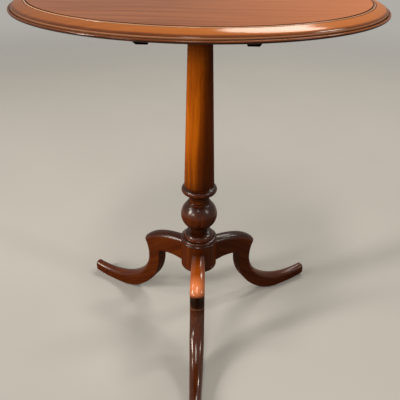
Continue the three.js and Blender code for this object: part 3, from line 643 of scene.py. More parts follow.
def leg_lines(s):
    """Matching points of a leg's upper and under lines, as distance from the axis and height.

    The upper line runs hip, knee, shin, instep, toe and the under line drum, arch corner, arch,
    heel, pad, toe; each row of the leg is carried between two points of the same number.
    """
    low = DRUM_BOTTOM + s.rise
    high = low + s.hip_depth
    root = DRUM_RADIUS - HIP_START
    knee = np.array([s.knee_radius, high - s.knee_drop])
    shin = np.array([s.shin_radius, knee[1] - s.shin_drop])
    instep = np.array([LEG_REACH - s.toe_corner, s.toe_height])
    nose = np.array([LEG_REACH, s.toe_height - s.toe_corner])
    toe_foot = np.array([LEG_REACH - s.toe_lean, s.toe_low])
    corner = np.array([s.shin_radius - s.shank - s.arch_corner, low])
    arch = np.array([s.shin_radius - s.shank, shin[1] + s.arch_corner])
    heel = np.array([s.heel_radius, s.heel_height])
    pad_in = np.array([s.pad_radius - s.pad_length / 2, 0.0])
    pad_out = np.array([s.pad_radius + s.pad_length / 2, 0.0])
    hip = bend((root, high), knee, 0, -50, 0.4, 0.32, 200)
    under = bend((DRUM_RADIUS, low), corner, 20, -20, 0.33, 0.3, 60)
    sole = joined(
        bend(arch, heel, -90, -37, 0.4, 0.35, 60),
        bend(heel, pad_in, -37, 0, 0.35, 0.38, 60),
        line(pad_in, pad_out, 20),
        bend(pad_out, toe_foot, 0, 8, 0.35, 0.3, 60),
    )
    shank = bend(knee, shin, -123, -90, 0.33, 0.34, 60)
    foot = bend(shin, instep, -90, 11, 0.3, 0.48, 200)
    toe_middle = (nose + toe_foot) / 2
    toe_quarter = (3 * toe_foot + toe_middle) / 4
    rows = [
        (respaced(hip[hip[:, 0] > DRUM_RADIUS + FIRST_ROW], 34), respaced(under, 34)),
        (respaced(shank, 18), respaced(line(corner, arch), 18)),
        (respaced(foot, 80, 1.25), respaced(sole, 80, 1.25)),
        (bend(instep, nose, 8, -90, 0.5, 0.4, 10), line(toe_foot, toe_quarter, 10)),
        (line(nose, toe_middle, 5), line(toe_quarter, toe_middle, 5)),
    ]
    upper = np.concatenate([rows[0][0]] + [pair[0][1:] for pair in rows[1:]])
    lower = np.concatenate([rows[0][1]] + [pair[1][1:] for pair in rows[1:]])
    return upper, lower, len(rows[0][0]) - 1


def directions(points):
    """Unit steps along a line of points, taken from each point's two neighbours"""
    step = np.gradient(points, axis=0)
    return step / np.maximum(np.linalg.norm(step, axis=1), 1e-9)[:, None]


def leg_half_width(s, radius):
    """Half the leg's width at a distance from the axis, drawn in to a quarter round at the toe"""
    marks = [DRUM_RADIUS, s.knee_radius, LEG_REACH]
    half = np.interp(radius, marks, [s.root_width / 2, s.knee_width / 2, s.toe_width / 2])
    past = np.clip(radius - (LEG_REACH - s.toe_round), 0.0, s.toe_round)
    return half - (s.toe_round - np.sqrt(s.toe_round**2 - past**2))


def arched_section(count, fullness=2.15):
    """Shares of an arch over the full width: sine across, one less cosine down, to 2 / fullness"""
    turn = np.radians(np.linspace(-90.0, 90.0, count))
    across = np.sign(turn) * np.abs(np.sin(turn)) ** (2 / fullness)
    down = 1 - np.clip(np.cos(turn), 0.0, 1.0) ** (2 / fullness)
    return across, np.zeros(count), down


def flat_section(rounds, flats):
    """Shares of a flat with a quarter round at each end: half width, rounding in and down"""
    turn = np.radians(np.linspace(0.0, 90.0, rounds))
    flat = np.linspace(-1.0, 1.0, flats + 2)[1:-1]
    one = np.ones(rounds)
    half = np.concatenate([-one, flat, one])
    inward = np.concatenate([(1 - np.sin(turn))[::-1], -flat, np.sin(turn) - 1])
    down = np.concatenate([(1 - np.cos(turn))[::-1], 0 * flat, 1 - np.cos(turn)])
    return half, inward, down


def leg_side(s, line_points, way, size, section):
    """One side of the leg: each line point becomes a row across it.

    Across is the half width times the first share plus the rounding times the second; the third
    share of the rounding carries the point down on its row's own way.
    """
    half_share, inward_share, down_share = section
    depth = size[:, None] * down_share
    along = line_points[:, None, :] + way[:, None, :] * depth[:, :, None]
    across = leg_half_width(s, along[:, :, 0]) * half_share + size[:, None] * inward_share
    return np.stack([along[:, :, 0], across, along[:, :, 1]], axis=-1)


def softened(points, middle, reach, passes=3):
    """A line whose points near one of them are averaged with their neighbours"""
    soft = points.copy()
    near = np.linalg.norm(points - points[middle], axis=1)[1:-1] < reach
    for _ in range(passes):
        even = (soft[:-2] + 2 * soft[1:-1] + soft[2:]) / 4
        soft[1:-1][near] = even[near]
    return soft


def leg_surface(s):
    """A leg along +X: an arched upper side and a flat under side carried along their two lines.

    Each row runs between a point of the upper line and one of the under line, and its flat
    sides lie straight between them. Near the knee the arch sinks along the knee's own mitre,
    so that both of its sides meet there.
    """
    upper, lower, knee = leg_lines(s)
    cross = lower - upper
    thickness = np.linalg.norm(cross, axis=1)
    cross /= np.maximum(thickness, 1e-9)[:, None]
    ways = [directions(upper), directions(lower)]
    sines = [np.abs(way[:, 0] * cross[:, 1] - way[:, 1] * cross[:, 0]) for way in ways]
    clear = [np.clip(sine, 0.35, 1.0) for sine in sines]
    crown = np.minimum(s.crown, 0.42 * thickness * clear[0])
    crown = np.minimum(crown, 0.8 * leg_half_width(s, upper[:, 0]))
    edge = np.minimum(s.under_edge, 0.3 * thickness * clear[1])
    edge = np.minimum(edge, 0.7 * leg_half_width(s, lower[:, 0]))

    before, after = upper[knee] - upper[knee - 1], upper[knee + 1] - upper[knee]
    before, after = before / np.linalg.norm(before), after / np.linalg.norm(after)
    mitre = (after - before) / np.linalg.norm(after - before)
    half_angle = abs(before[0] * mitre[1] - before[1] * mitre[0])
    near = 1 - np.linalg.norm(upper - upper[knee], axis=1) / MITRE_REACH
    near = np.clip(near, 0.0, 1.0)[:, None]
    down = cross / clear[0][:, None] * (1 - near) + mitre / half_angle * near

    upper = softened(upper, knee, 4 * s.knee_ease)
    top = leg_side(s, upper, down, crown, arched_section(ACROSS))
    section = flat_section(ROUNDS, ACROSS - 2 * ROUNDS)
    under = leg_side(s, lower, -cross / clear[1][:, None], edge, section)[:, ::-1]
    under[-1] = top[-1, ::-1]
    share = np.linspace(0.0, 1.0, DOWN_SIDE + 2)[None, 1:-1, None]
    right = top[:, -1:] * (1 - share) + under[:, :1] * share
    left = under[:, -1:] * (1 - share) + top[:, :1] * share
    ring = np.concatenate([top, right, under, left], axis=1)
    shoulder = DRUM_RADIUS + JOINT
    ring[0, :, 0] = np.sqrt(shoulder**2 - ring[0, :, 1] ** 2)
    return ring.reshape(-1, 3), ring_faces(len(ring), ring.shape[1]).tolist() + hip_faces()


def hip_faces():
    """Closes the leg against the drum: upright strips from its upper row of points to its lower"""
    top, right, under, left = np.split(
        np.arange(2 * (ACROSS + DOWN_SIDE)), np.cumsum([ACROSS, DOWN_SIDE, ACROSS])
    )
    under = under[::-1]
    strips = np.column_stack([top[1:-2], top[2:-1], under[2:-1], under[1:-2]]).tolist()
    strips.append([top[0], top[1], under[1], under[0], *left])
    strips.append([top[-2], top[-1], *right, under[-1], under[-2]])
    return [[int(corner) for corner in face] for face in strips]


# ---------------------------------------------------------------- screws

GOLDEN_ANGLE = math.pi * (3 - math.sqrt(5))  # turns each slot on from the last one's


def screw_profile(head, reach):
    """Half section of a countersunk screw on its head's face: rim, cone, shank and point"""
    rim, shank, ease = 0.3 * MM, 0.5 * head, 0.15 * MM
    return joined(
        line((0, 0), (head - ease, 0), 3),
        line((head, ease), (head, rim)),
        line((shank, rim + head - shank), (shank, reach - 2 * shank)),
        line((shank / 4, reach), (0, reach)),
    )


def slotted_screw(s, name, head, reach):
    """A turned screw with a straight slot cut across its head"""
    body = put(name, turned_mesh(name, screw_profile(head, reach), 40))
    half, deep = s.slot_width * head / 2, s.slot_depth * head
    corners = np.array([(x, y, z) for x in (-1.5, 1.5) for y in (-1, 1) for z in (-1, 1)])
    corners = corners * np.array([head, half, deep])
    sides = [(0, 1, 3, 2), (4, 6, 7, 5), (0, 4, 5, 1), (2, 3, 7, 6), (0, 2, 6, 4), (1, 5, 7, 3)]
    tool = put("slot_tool", mesh_from("slot_tool", corners, sides))
    slot = body.modifiers.new("Slot", "BOOLEAN")
    slot.operation, slot.solver, slot.object = "DIFFERENCE", "EXACT", tool
    ready = body.evaluated_get(bpy.context.evaluated_depsgraph_get())
    mesh = bpy.data.meshes.new_from_object(ready)
    bpy.data.objects.remove(body)
    bpy.data.objects.remove(tool)
    return mesh


# ---------------------------------------------------------------- finishes

# Painted light and shade over the wood: painted shade in corners and hollows and on sides
# turned from the light, some of it dark red, painted highlights on arrises, and painted
# light on faces that catch it
SHADE_TINT, HIGHLIGHT_TINT, SLOPE_LIGHT = (0.030, 0.006, 0.001), (0.62, 0.38, 0.23), (0.56, 0.17, 0.020)
SIDE_LIGHT, SIDE_SHADE = (0.80, 0.23, 0.045), (0.090, 0.030, 0.014)
NECK_SHADE, SHAFT_END_SHADE, SHAFT_SIDE_SHADE = (0.010, 0.002, 0.0), (0.018, 0.004, 0.001), (0.060, 0.006, 0.001)
KNEE_DARK, KNEE_LIGHT = (0.012, 0.004, 0.001), (0.300, 0.058, 0.004)
KNEE_HIGHLIGHT, KNEE_GLINT = (0.780, 0.230, 0.080), (0.300, 0.180, 0.110)

# Bands are rows of place, tint and share. Across the moulding: mm out from the face's edge;
# painted shade in the quirks, on the ovolo's steep foot, in the groove and on the nosing,
# painted highlights on the bead and fillet, and painted light on the ovolo's slope
MOULDING_BANDS = (
    (-30.2, SHADE_TINT, 0.0), (-29.3, SHADE_TINT, 0.9), (-26.8, SHADE_TINT, 0.9), (-26.2, HIGHLIGHT_TINT, 0.6),
    (-24.4, HIGHLIGHT_TINT, 0.4), (-23.6, SHADE_TINT, 0.85), (-22.7, SHADE_TINT, 0.7), (-21.9, SLOPE_LIGHT, 0.5),
    (-4.5, SLOPE_LIGHT, 0.4), (-3.0, SHADE_TINT, 0.0), (-0.8, SHADE_TINT, 0.55), (3.4, SHADE_TINT, 0.7),
    (4.3, HIGHLIGHT_TINT, 0.35), (5.6, HIGHLIGHT_TINT, 0.3), (6.3, SHADE_TINT, 0.95), (8.6, SHADE_TINT, 0.9),
    (9.6, SHADE_TINT, 0.35), (12.4, SHADE_TINT, 0.45), (13.6, SHADE_TINT, 0.8),
)
# Along X of the board, and where the moulding starts: distances from the middle; painted
# light on the board's right side, and painted shade on the moulding towards its left
SIDE_LIGHT_BANDS = ((-0.05, SIDE_LIGHT, 0.0), (0.30, SIDE_LIGHT, 0.5))
SIDE_SHADE_FROM = (0.2875, 0.2900)
NOSING_DROP = 13.6 * MM  # face of the board to the shaded under edge of its nosing
# Up the column, and up the front leg: heights; painted shade in the necks and at the shaft's
# ends, the front leg darker towards its foot, and a painted glint line across its shin
NECK_SHADE_BANDS = (
    (0.236, NECK_SHADE, 0.0), (0.241, NECK_SHADE, 0.7), (0.256, NECK_SHADE, 0.6), (0.272, NECK_SHADE, 0.0),
    (0.318, NECK_SHADE, 0.0), (0.322, NECK_SHADE, 0.6), (0.334, NECK_SHADE, 0.6), (0.340, NECK_SHADE, 0.0),
)
SHAFT_BANDS = (
    (0.340, SHAFT_END_SHADE, 0.9), (0.372, SHAFT_END_SHADE, 0.45), (0.460, SHAFT_END_SHADE, 0.1),
    (0.540, SHAFT_END_SHADE, 0.0), (0.600, SHAFT_END_SHADE, 0.0), (0.645, SHAFT_END_SHADE, 0.6),
    (0.675, SHAFT_END_SHADE, 0.9),
)
SHIN_BANDS = ((0.030, KNEE_DARK, 0.45), (0.100, KNEE_DARK, 0.25), (0.165, KNEE_DARK, 0.0))
GLINT_BANDS = ((0.1265, KNEE_GLINT, 0.0), (0.1280, KNEE_GLINT, 0.6), (0.1295, KNEE_GLINT, 0.0))
# The painted shade on the shaft's right side, dark red, starts left of its axis and leans in
# with the shaft's taper
SIDE_SHADE_MIDDLE, SHAFT_LEAN = -0.030, 0.07
# Round points of the front knee: place, distance whole, distance gone, tint, share; painted
# light on the knee, a painted highlight near its point, and painted shade under it
KNEE_PATCHES = (
    ((0.0, -0.112, 0.190), 0.020, 0.060, KNEE_LIGHT, 0.9),
    ((-0.002, -0.134, 0.187), 0.006, 0.030, KNEE_HIGHLIGHT, 0.8),
    ((0.0, -0.142, 0.150), 0.016, 0.025, KNEE_DARK, 0.95),
)


class Nodes:
    """A tree of shader nodes, built a node at a time"""

    def __init__(self, owner):
        owner.use_nodes = True
        self.tree = owner.node_tree

    def node(self, kind, sockets=(), **settings):
        """Adds a node, sets its options, and gives each socket a value or a link"""
        made = self.tree.nodes.new("ShaderNode" + kind)
        for key, value in settings.items():
            setattr(made, key, value)
        for key, value in dict(sockets).items():
            self.give(made, key, value)
        return made

    def give(self, made, key, value):
        """Links a socket, or sets its value"""
        if isinstance(value, bpy.types.NodeSocket):
            self.tree.links.new(value, made.inputs[key])
        else:
            made.inputs[key].default_value = value

    def maths(self, operation, first, second):
        """Two numbers joined by an operation"""
        return self.node("Math", {0: first, 1: second}, operation=operation).outputs[0]

    def vector(self, operation, *values):
        """A vector operation, its outputs by name"""
        return self.node("VectorMath", enumerate(values), operation=operation).outputs

    def split(self, vector):
        """The three parts of a vector"""
        return self.node("SeparateXYZ", {0: vector}).outputs

    def place(self):
        """The place in object coordinates"""
        return self.node("TexCoord").outputs["Object"]

    def noise(self, place, stretch, detail=2.0, distortion=0.0, roughness=0.5):
        """Noise read at the place times a stretch on each axis"""
        put = self.node("Mapping", {"Vector": place, "Scale": stretch})
        return self.node("TexNoise", {
            "Vector": put.outputs[0], "Scale": 1.0, "Detail": detail,
            "Distortion": distortion, "Roughness": roughness,
        }).outputs["Fac"]

    def span(self, value, low, high, out_low=0.0, out_high=1.0):
        """A value spread from one range to another, and held at its ends"""
        return self.node("MapRange", {
            "Value": value, "From Min": low, "From Max": high,
            "To Min": out_low, "To Max": out_high,
        }, interpolation_type="SMOOTHSTEP").outputs[0]

    def ramp(self, value, stops):
        """Colour and alpha of a value, from rows of place, colour and alpha"""
        made = self.node("ValToRGB", {"Fac": value})
        band = made.color_ramp
        while len(band.elements) < len(stops):
            band.elements.new(0.5)
        for element, (place, tint, share) in zip(band.elements, stops):
            element.position, element.color = place, (*tint, share)
        return made.outputs

    def bands(self, tone, value, rows):
        """Lays a colour over the tone, as far as each row for a value says"""
        low, high = rows[0][0], rows[-1][0]
        shared = self.node("MapRange", {"Value": value, "From Min": low, "From Max": high})
        stops = [((place - low) / (high - low), tint, share) for place, tint, share in rows]
        laid = self.ramp(shared.outputs[0], stops)
        return self.blend(laid["Alpha"], tone, laid["Color"])

    def patch(self, tone, place, centre, inner, outer, tint, share):
        """Lays a colour round a place: whole to the inner distance, gone at the outer"""
        apart = self.vector("DISTANCE", place, centre)["Value"]
        return self.bands(tone, apart, [(inner, tint, share), (outer, tint, 0.0)])

    def blend(self, share, first, second):
        """A mix of two colours"""
        made = self.node("Mix", data_type="RGBA")
        for place, value in ((0, share), (6, first), (7, second)):
            if not isinstance(value, (bpy.types.NodeSocket, float)):
                value = (*value, 1.0)
            self.give(made, place, value)
        return made.outputs[2]

    def seen(self):
        """One for light that shows a surface to the eye, straight or by way of gloss or glass"""
        ray = self.node("LightPath").outputs
        mirrored = self.maths("MAXIMUM", ray["Is Glossy Ray"], ray["Is Transmission Ray"])
        return self.maths("MAXIMUM", ray["Is Camera Ray"], mirrored)


class Finish(Nodes):
    """A material around its Principled shader"""

    def __init__(self, name):
        self.material = bpy.data.materials.new(name)
        super().__init__(self.material)
        self.shader = self.tree.nodes["Principled BSDF"]

    def shine(self, **values):
        """Sets the shader's own sockets, named with underscores for spaces"""
        for key, value in values.items():
            self.give(self.shader, key.replace("_", " "), value)

    def bump(self, height, distance):
        """Lifts the surface by a height times a distance"""
        made = self.node("Bump", {"Height": height, "Distance": distance, "Strength": 1.0})
        self.give(self.shader, "Normal", made.outputs[0])


def times(share, tint):
    """A tint made darker or lighter, at most white"""
    return tuple(min(1.0, share * part) for part in tint)


def wood(name, tones, pores, ribbon, satin, wear_and_shade, bump, painted_light=None, top_shade=0.0, **shine):
    """Wood drawn along the grain attribute.

    Broad figure is noise stretched along the grain, read where a slower noise has pushed it
    aside; over it lie ribbon stripes, cloudy patches, fine dark pores, rubbed edges and painted
    shade in the hollows. The same figure and pores lift the surface a little. Top shade is how
    far painted shade darkens faces that look up; there the coat is whole, and thin on the
    others. Painted light is a function that lays one piece's painted light and shade over the
    tone.
    """
    f = Finish(name)
    dark, middle, light = tones
    grain = f.node("Attribute", attribute_name="grain").outputs["Vector"]
    push = f.node("TexNoise", {"Vector": grain, "Scale": 6.0, "Detail": 2.0}).outputs["Color"]
    push = f.vector("SUBTRACT", push, (0.5, 0.5, 0.5))[0]
    push = f.vector("MULTIPLY", push, (0.022, 0.022, 0.022))[0]
    drawn = f.vector("ADD", grain, push)[0]
    figure = f.noise(drawn, (3.0, 110.0, 110.0), 5.0, 0.3, 0.6)
    stripe = f.noise(drawn, (1.4, 210.0, 60.0))
    cloud = f.noise(drawn, (5.0, 12.0, 12.0))
    pore = f.noise(grain, (70.0, 1500.0, 1500.0))
    streak = f.noise(grain, (9.0, 480.0, 480.0), 3.0)
    tone = f.ramp(figure, [(0.24, dark, 1.0), (0.50, middle, 1.0), (0.76, light, 1.0)])["Color"]
    tone = f.blend(f.span(stripe, 0.45, 0.75, 0.0, ribbon), tone, light)
    tone = f.blend(f.span(cloud, 0.42, 0.72, 0.0, 0.3), tone, dark)
    tone = f.blend(f.span(streak, 0.52, 0.75, 0.0, 0.5 * pores), tone, dark)
    hole = f.span(pore, 0.58, 0.72, 0.0, pores)
    tone = f.blend(hole, tone, times(0.35, dark))
    if top_shade:
        # Painted shade on faces that look up, above the feet
        up = f.split(f.node("NewGeometry").outputs["Normal"])[2]
        above = f.span(f.split(f.place())[2], 0.15, 0.19)
        top_shaded = f.maths("MULTIPLY", f.span(up, 0.15, 0.75, 0.0, top_shade), above)
        tone = f.blend(top_shaded, tone, times(0.35, dark))
        gloss = shine["Coat_Weight"]
        shine["Coat_Weight"] = f.span(up, 0.0, 0.35, 0.2 * gloss, gloss)
    # Each piece's painted light and shade
    if painted_light:
        tone = painted_light(f, grain, tone)
    if wear_and_shade:
        edge = f.node("NewGeometry").outputs["Pointiness"]
        rubbed = f.maths("MULTIPLY", f.span(edge, 0.53, 0.60), f.span(cloud, 0.3, 0.6, 0.4, 1.0))
        tone = f.blend(f.maths("MULTIPLY", rubbed, wear_and_shade), tone, times(1.25, light))
        # Painted shade in hollows and creases, where the pointiness is low
        tone = f.blend(f.span(edge, 0.47, 0.40, 0.0, 0.7), tone, times(0.3, dark))
    smudge = f.noise(grain, (14.0, 30.0, 30.0), 3.0)
    ripple = f.noise(grain, (16.0, 22.0, 22.0), 1.0)
    height = f.maths("SUBTRACT", f.maths("MULTIPLY", ripple, 2.0), hole)
    height = f.maths("ADD", height, f.maths("MULTIPLY", figure, 0.6))
    f.bump(height, bump * MM)
    f.shine(Base_Color=tone, Roughness=f.span(smudge, 0.3, 0.7, *satin), **shine)


def painted_moulding_light(f, grain, tone):
    """Painted shade in the quirks, under the fillet and below the nosing; painted highlights on
    the bead and fillet, painted light on the ovolo's slope and the board's right side, and
    painted shade on the moulding's left.

    The bands are read across the moulding: distance from the board's middle less height.
    """
    out, away, up = f.split(grain)
    level = f.node("CombineXYZ", {0: out, 1: away}).outputs[0]
    radius = f.vector("LENGTH", level)["Value"]
    across = f.maths("SUBTRACT", radius, up)
    start = TOP_RADIUS - TABLE_HEIGHT
    # Painted light: the board warmer and brighter towards its right side
    tone = f.bands(tone, out, SIDE_LIGHT_BANDS)
    tone = f.bands(tone, across, [(start + at * MM, *row) for at, *row in MOULDING_BANDS])
    # Painted shade on the moulding, strongest at its left
    kept = f.maths("MULTIPLY", f.span(out, -0.30, 0.02, 0.6, 0.06), f.span(radius, *SIDE_SHADE_FROM))
    tone = f.blend(kept, tone, SIDE_SHADE)
    # Painted shadow, nearly black, on the under edge of the nosing
    nosing = TABLE_HEIGHT - NOSING_DROP
    return f.bands(tone, up, [(nosing - 0.1 * MM, SHADE_TINT, 0.97), (nosing + 1.1 * MM, SHADE_TINT, 0.0)])


def painted_neck_shade(f, grain, tone):
    """Painted shade in the two necks and under the ball"""
    return f.bands(tone, f.split(grain)[0], NECK_SHADE_BANDS)


def painted_shaft_shade(f, grain, tone):
    """The shaft lighter on its left, with painted shade in dark red on its right and at both ends
    """
    up = f.split(grain)[0]
    side = f.maths("SUBTRACT", f.split(f.place())[0], f.maths("MULTIPLY", up, SHAFT_LEAN))
    # Painted shade, dark red, on the side turned from the light
    tone = f.bands(tone, side, [
        (SIDE_SHADE_MIDDLE - 0.006, SHAFT_SIDE_SHADE, 0.0),
        (SIDE_SHADE_MIDDLE + 0.002, SHAFT_SIDE_SHADE, 0.45),
        (SIDE_SHADE_MIDDLE + 0.014, SHAFT_SIDE_SHADE, 0.75),
    ])
    # Painted shade at both ends: above the ring and under the board
    return f.bands(tone, up, SHAFT_BANDS)


def painted_knee_light(f, _, tone):
    """Painted light on the front knee, a painted highlight near its point and painted shade
    under it, the leg darker towards its foot, and a painted glint line across the shin
    """
    place = f.place()
    up = f.split(place)[2]
    # The leg darker towards its foot
    tone = f.bands(tone, up, SHIN_BANDS)
    # Painted light on the knee, a painted highlight near its point, painted shade under it
    for patch in KNEE_PATCHES:
        tone = f.patch(tone, place, *patch)
    # A painted glint line across the shin
    return f.bands(tone, up, GLINT_BANDS)


def aged_metal(name, bright, dull, rough, patch, dulling, bump=0.03, metallic=1.0):
    """Metal read in object coordinates: bright where rubbed, dull in clouds and corners"""
    f = Finish(name)
    place = f.place()
    cloud = f.noise(place, (patch, patch, patch), 4.0, 0.3, 0.6)
    speck = f.noise(place, (6 * patch, 6 * patch, 6 * patch), 3.0)
    brushed = f.noise(place, (120.0, 1500.0, 1500.0))
    edge = f.node("NewGeometry").outputs["Pointiness"]
    tone = f.blend(f.span(cloud, 0.35, 0.68, 0.0, dulling), bright, dull)
    tone = f.blend(f.span(speck, 0.55, 0.75, 0.0, 0.5 * dulling), tone, times(0.5, dull))
    tone = f.blend(f.span(edge, 0.53, 0.62, 0.0, 0.8), tone, times(1.3, bright))
    f.bump(f.maths("ADD", speck, f.maths("MULTIPLY", brushed, 0.3)), bump * MM)
    f.shine(Base_Color=tone, Metallic=metallic, Roughness=f.span(cloud, 0.3, 0.7, *rough))


def make_finishes(c):
    """Makes all the table's materials"""
    woods = {name: [tuple(getattr(c, f"{name}_{tone}")) for tone in TONES] for name in WOODS}
    metals = {name: tuple(getattr(c, name)) for name in METAL_COLOURS}

    def coat(weight, roughness):
        """The sockets of a polish that alone gives the gloss"""
        return {"Specular_IOR_Level": 0.0, "Coat_Weight": weight, "Coat_Roughness": roughness}

    wood("polished_top", woods["top"], 0.3, 0.3, (0.30, 0.42), 0.35, 0.02,
         painted_moulding_light, **coat(0.4, 0.12))
    # Rows of name, painted light and shade, painted shade on faces that look up, coat weight and
    # coat roughness
    polished = (
        ("polished_base", None, 0.75, 0.65, 0.24),
        ("polished_front_leg", painted_knee_light, 0.5, 0.9, 0.16),
        ("polished_column", painted_neck_shade, 0.8, 0.8, 0.25),
    )
    for name, painted_light, top_shade, weight, roughness in polished:
        wood(name, woods["base"], 0.3, 0.15, (0.16, 0.26), 0.5, 0.003,
             painted_light, top_shade, **coat(weight, roughness))
    wood("polished_shaft", woods["shaft"], 0.35, 0.35, (0.16, 0.26), 0.5, 0.012,
         painted_shaft_shade, **coat(0.10, 0.25))
    wood("raw_underside", woods["raw"], 0.6, 0.3, (0.6, 0.75), 0.0, 0.05, Specular_IOR_Level=0.2)
    wood("shade_dark_underframe", woods["deal"], 0.6, 0.25, (0.5, 0.7), 0.3, 0.05,
         Specular_IOR_Level=0.0)
    aged_metal("aged_brass", metals["brass"], metals["brass_dull"], (0.28, 0.5), 90.0, 0.8)
    aged_metal("blackened_iron", metals["iron"], metals["rust"], (0.45, 0.7), 60.0, 0.6, 0.12, 0.7)
    aged_metal("dull_steel", metals["steel"], metals["rust"], (0.35, 0.6), 150.0, 0.6, 0.05)


# The finish of each metal slot of the record
METAL_FINISHES = {"brass": "aged_brass", "iron": "blackened_iron", "steel": "dull_steel"}


def finish(name):
    """The material of that name, made with the others on first use"""
    if name not in bpy.data.materials:
        make_finishes(bpy.context.scene.tilt_top_table.colours)
    return bpy.data.materials[name]


# ---------------------------------------------------------------- stage

# Half the floor's width, and distances from the middle over which it fades out
FLOOR_HALF, FLOOR_FADE = 10.0, (1.6, 4.2)
FLOOR_CORNERS = ((-1, -1), (1, -1), (1, 1), (-1, 1))
LAMP_TARGET, LAMP_DISTANCE = Vector((0.0, 0.0, 0.35)), 4.0
LAMP_COLOUR = (1.0, 0.93, 0.83)
# Lamps: direction from the table, width, height, share of plain white light given
LAMPS = {
    "lamp_back": ((0.23, 0.66, 0.72), 1.6, 1.0, 0.34),
    "lamp_over_front": ((-0.08, -0.48, 0.87), 0.6, 2.0, 0.28),
    "lamp_over_left": ((-0.77, -0.10, 0.63), 0.6, 0.6, 0.14),
    "lamp_over_right": ((0.62, 0.27, 0.74), 0.6, 0.8, 0.21),
    "lamp_left": ((-0.83, -0.38, 0.41), 0.5, 1.9, 0.78),
    "lamp_front_left": ((-0.62, -0.72, 0.30), 1.0, 0.5, 0.20),
    "lamp_right": ((0.76, -0.40, 0.51), 0.3, 1.2, 0.16),
}


def lay_floor(stage):
    """A plain square floor: faint cloudy tone so that it doesn't look cut from paper"""
    corners = [(FLOOR_HALF * x, FLOOR_HALF * y, 0.0) for x, y in FLOOR_CORNERS]
    mesh = bpy.data.meshes.new("floor")
    mesh.from_pydata(corners, [], [(0, 1, 2, 3)])
    floor = put("floor", mesh)
    f = Finish("plain_floor")
    place = f.place()
    cloud = f.noise(place, (3.0, 3.0, 3.0))
    tone = tuple(stage.floor_colour)
    shade = f.blend(f.span(cloud, 0.2, 0.8), tone, times(0.97, tone))
    shade = f.blend(f.seen(), times(stage.floor_bounce, tone), shade)
    f.shine(Base_Color=shade, Roughness=0.9, Specular_IOR_Level=0.1)
    away = f.span(f.vector("LENGTH", place)["Value"], *FLOOR_FADE)
    clear = f.node("BsdfTransparent").outputs[0]
    faded = f.node("MixShader", {0: away, 1: f.shader.outputs[0], 2: clear})
    f.give(f.tree.nodes["Material Output"], "Surface", faded.outputs[0])
    mesh.materials.append(f.material)


def set_surroundings(stage):
    """Even faint light from all sides; to the eye it has the floor's own tone, so no edge shows"""
    world = bpy.data.worlds.new("surroundings")
    f = Nodes(world)
    dim = tuple(stage.backdrop_strength * part for part in stage.backdrop)
    tone = f.blend(f.seen(), dim, tuple(stage.horizon))
    f.give(f.tree.nodes["Background"], "Color", tone)
    bpy.context.scene.world = world


def hang_lamp(name, way, width, height, light):
    """An oval lamp turned to the table; its power gives that share of white at the table"""
    lamp = bpy.data.lights.new(name, "AREA")
    lamp.shape, lamp.size, lamp.size_y = "ELLIPSE", width, height
    lamp.energy = light * math.pi**2 * LAMP_DISTANCE**2
    lamp.color = LAMP_COLOUR
    holder = put(name, lamp)
    holder.visible_camera = False
    turned = way.to_track_quat("Z", "Y").to_matrix().to_4x4()
    holder.matrix_world = Matrix.Translation(LAMP_TARGET + LAMP_DISTANCE * way) @ turned


def set_camera(stage):
    """The camera looks down and aside by its tilt and turn, and leans by its roll"""
    tilt, turn, roll = stage.camera_tilt, stage.camera_turn, stage.camera_roll
    ahead = Vector((math.sin(turn), math.cos(turn), 0.0))
    forward = ahead * math.cos(tilt) - Vector((0.0, 0.0, math.sin(tilt)))
    right = Vector((math.cos(turn), -math.sin(turn), 0.0))
    down = forward.cross(right)
    leant_right = right * math.cos(roll) - down * math.sin(roll)
    leant_down = right * math.sin(roll) + down * math.cos(roll)
    camera = put("camera", bpy.data.cameras.new("camera"))
    camera.data.sensor_width = 36.0
    camera.data.lens = stage.lens
    camera.data.shift_x = stage.shift
    camera.data.clip_start = 0.01
    axes = Matrix((leant_right, -leant_down, -forward)).transposed()
    camera.matrix_world = Matrix.Translation(stage.camera_place) @ axes.to_4x4()
    bpy.context.scene.camera = camera


# ---------------------------------------------------------------- operators


class TILTTOP_OT_top_board(Operator):
    """Turn the round board with its moulded edge"""

    bl_idname = "tilt_top_table.top_board"
    bl_label = "Top Board"

    def execute(self, context):
        sizes = context.scene.tilt_top_table.top_board
        mesh = turned_mesh("top_board", top_board_profile(sizes), sizes.sides)
        set_grain(mesh, (1, 0, 0), (0, 1, 0))
        set_smooth(mesh, 35)
        finished_piece(mesh, "top", ["table_top"], "mahogany_top",
                       finish("polished_top"), finish("raw_underside"))
        use_second_finish(mesh, *BOARD_BASE)
        return {"FINISHED"}


class TILTTOP_OT_underframe(Operator):
    """Dress the two bearers, the pivot block and the wedge in the column's tenon"""

    bl_idname = "tilt_top_table.underframe"
    bl_label = "Bearers and Block"

    def execute(self, context):
        ease = context.scene.tilt_top_table.fittings.wood_ease
        along_y, along_x = ((0, 1, 0), (0, 0, 1)), ((1, 0, 0), (0, 0, 1))
        rows = (
            ("bearer_left", "top", along_y), ("bearer_right", "top", along_y),
            ("pivot_block", "base", along_x), ("column_wedge", "base", along_y),
        )
        for node, body, (along, across) in rows:
            low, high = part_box(node)
            origin = (low + high) / 2 + Vector((0.3, 0.7, 0.2)) * low.x
            width = min(ease, 0.2 * (high.x - low.x))
            eased_piece(f"{node}_dressed", node, body, "secondary_wood",
                        finish("shade_dark_underframe"), width, 8 * MM, (along, across, origin))
        return {"FINISHED"}


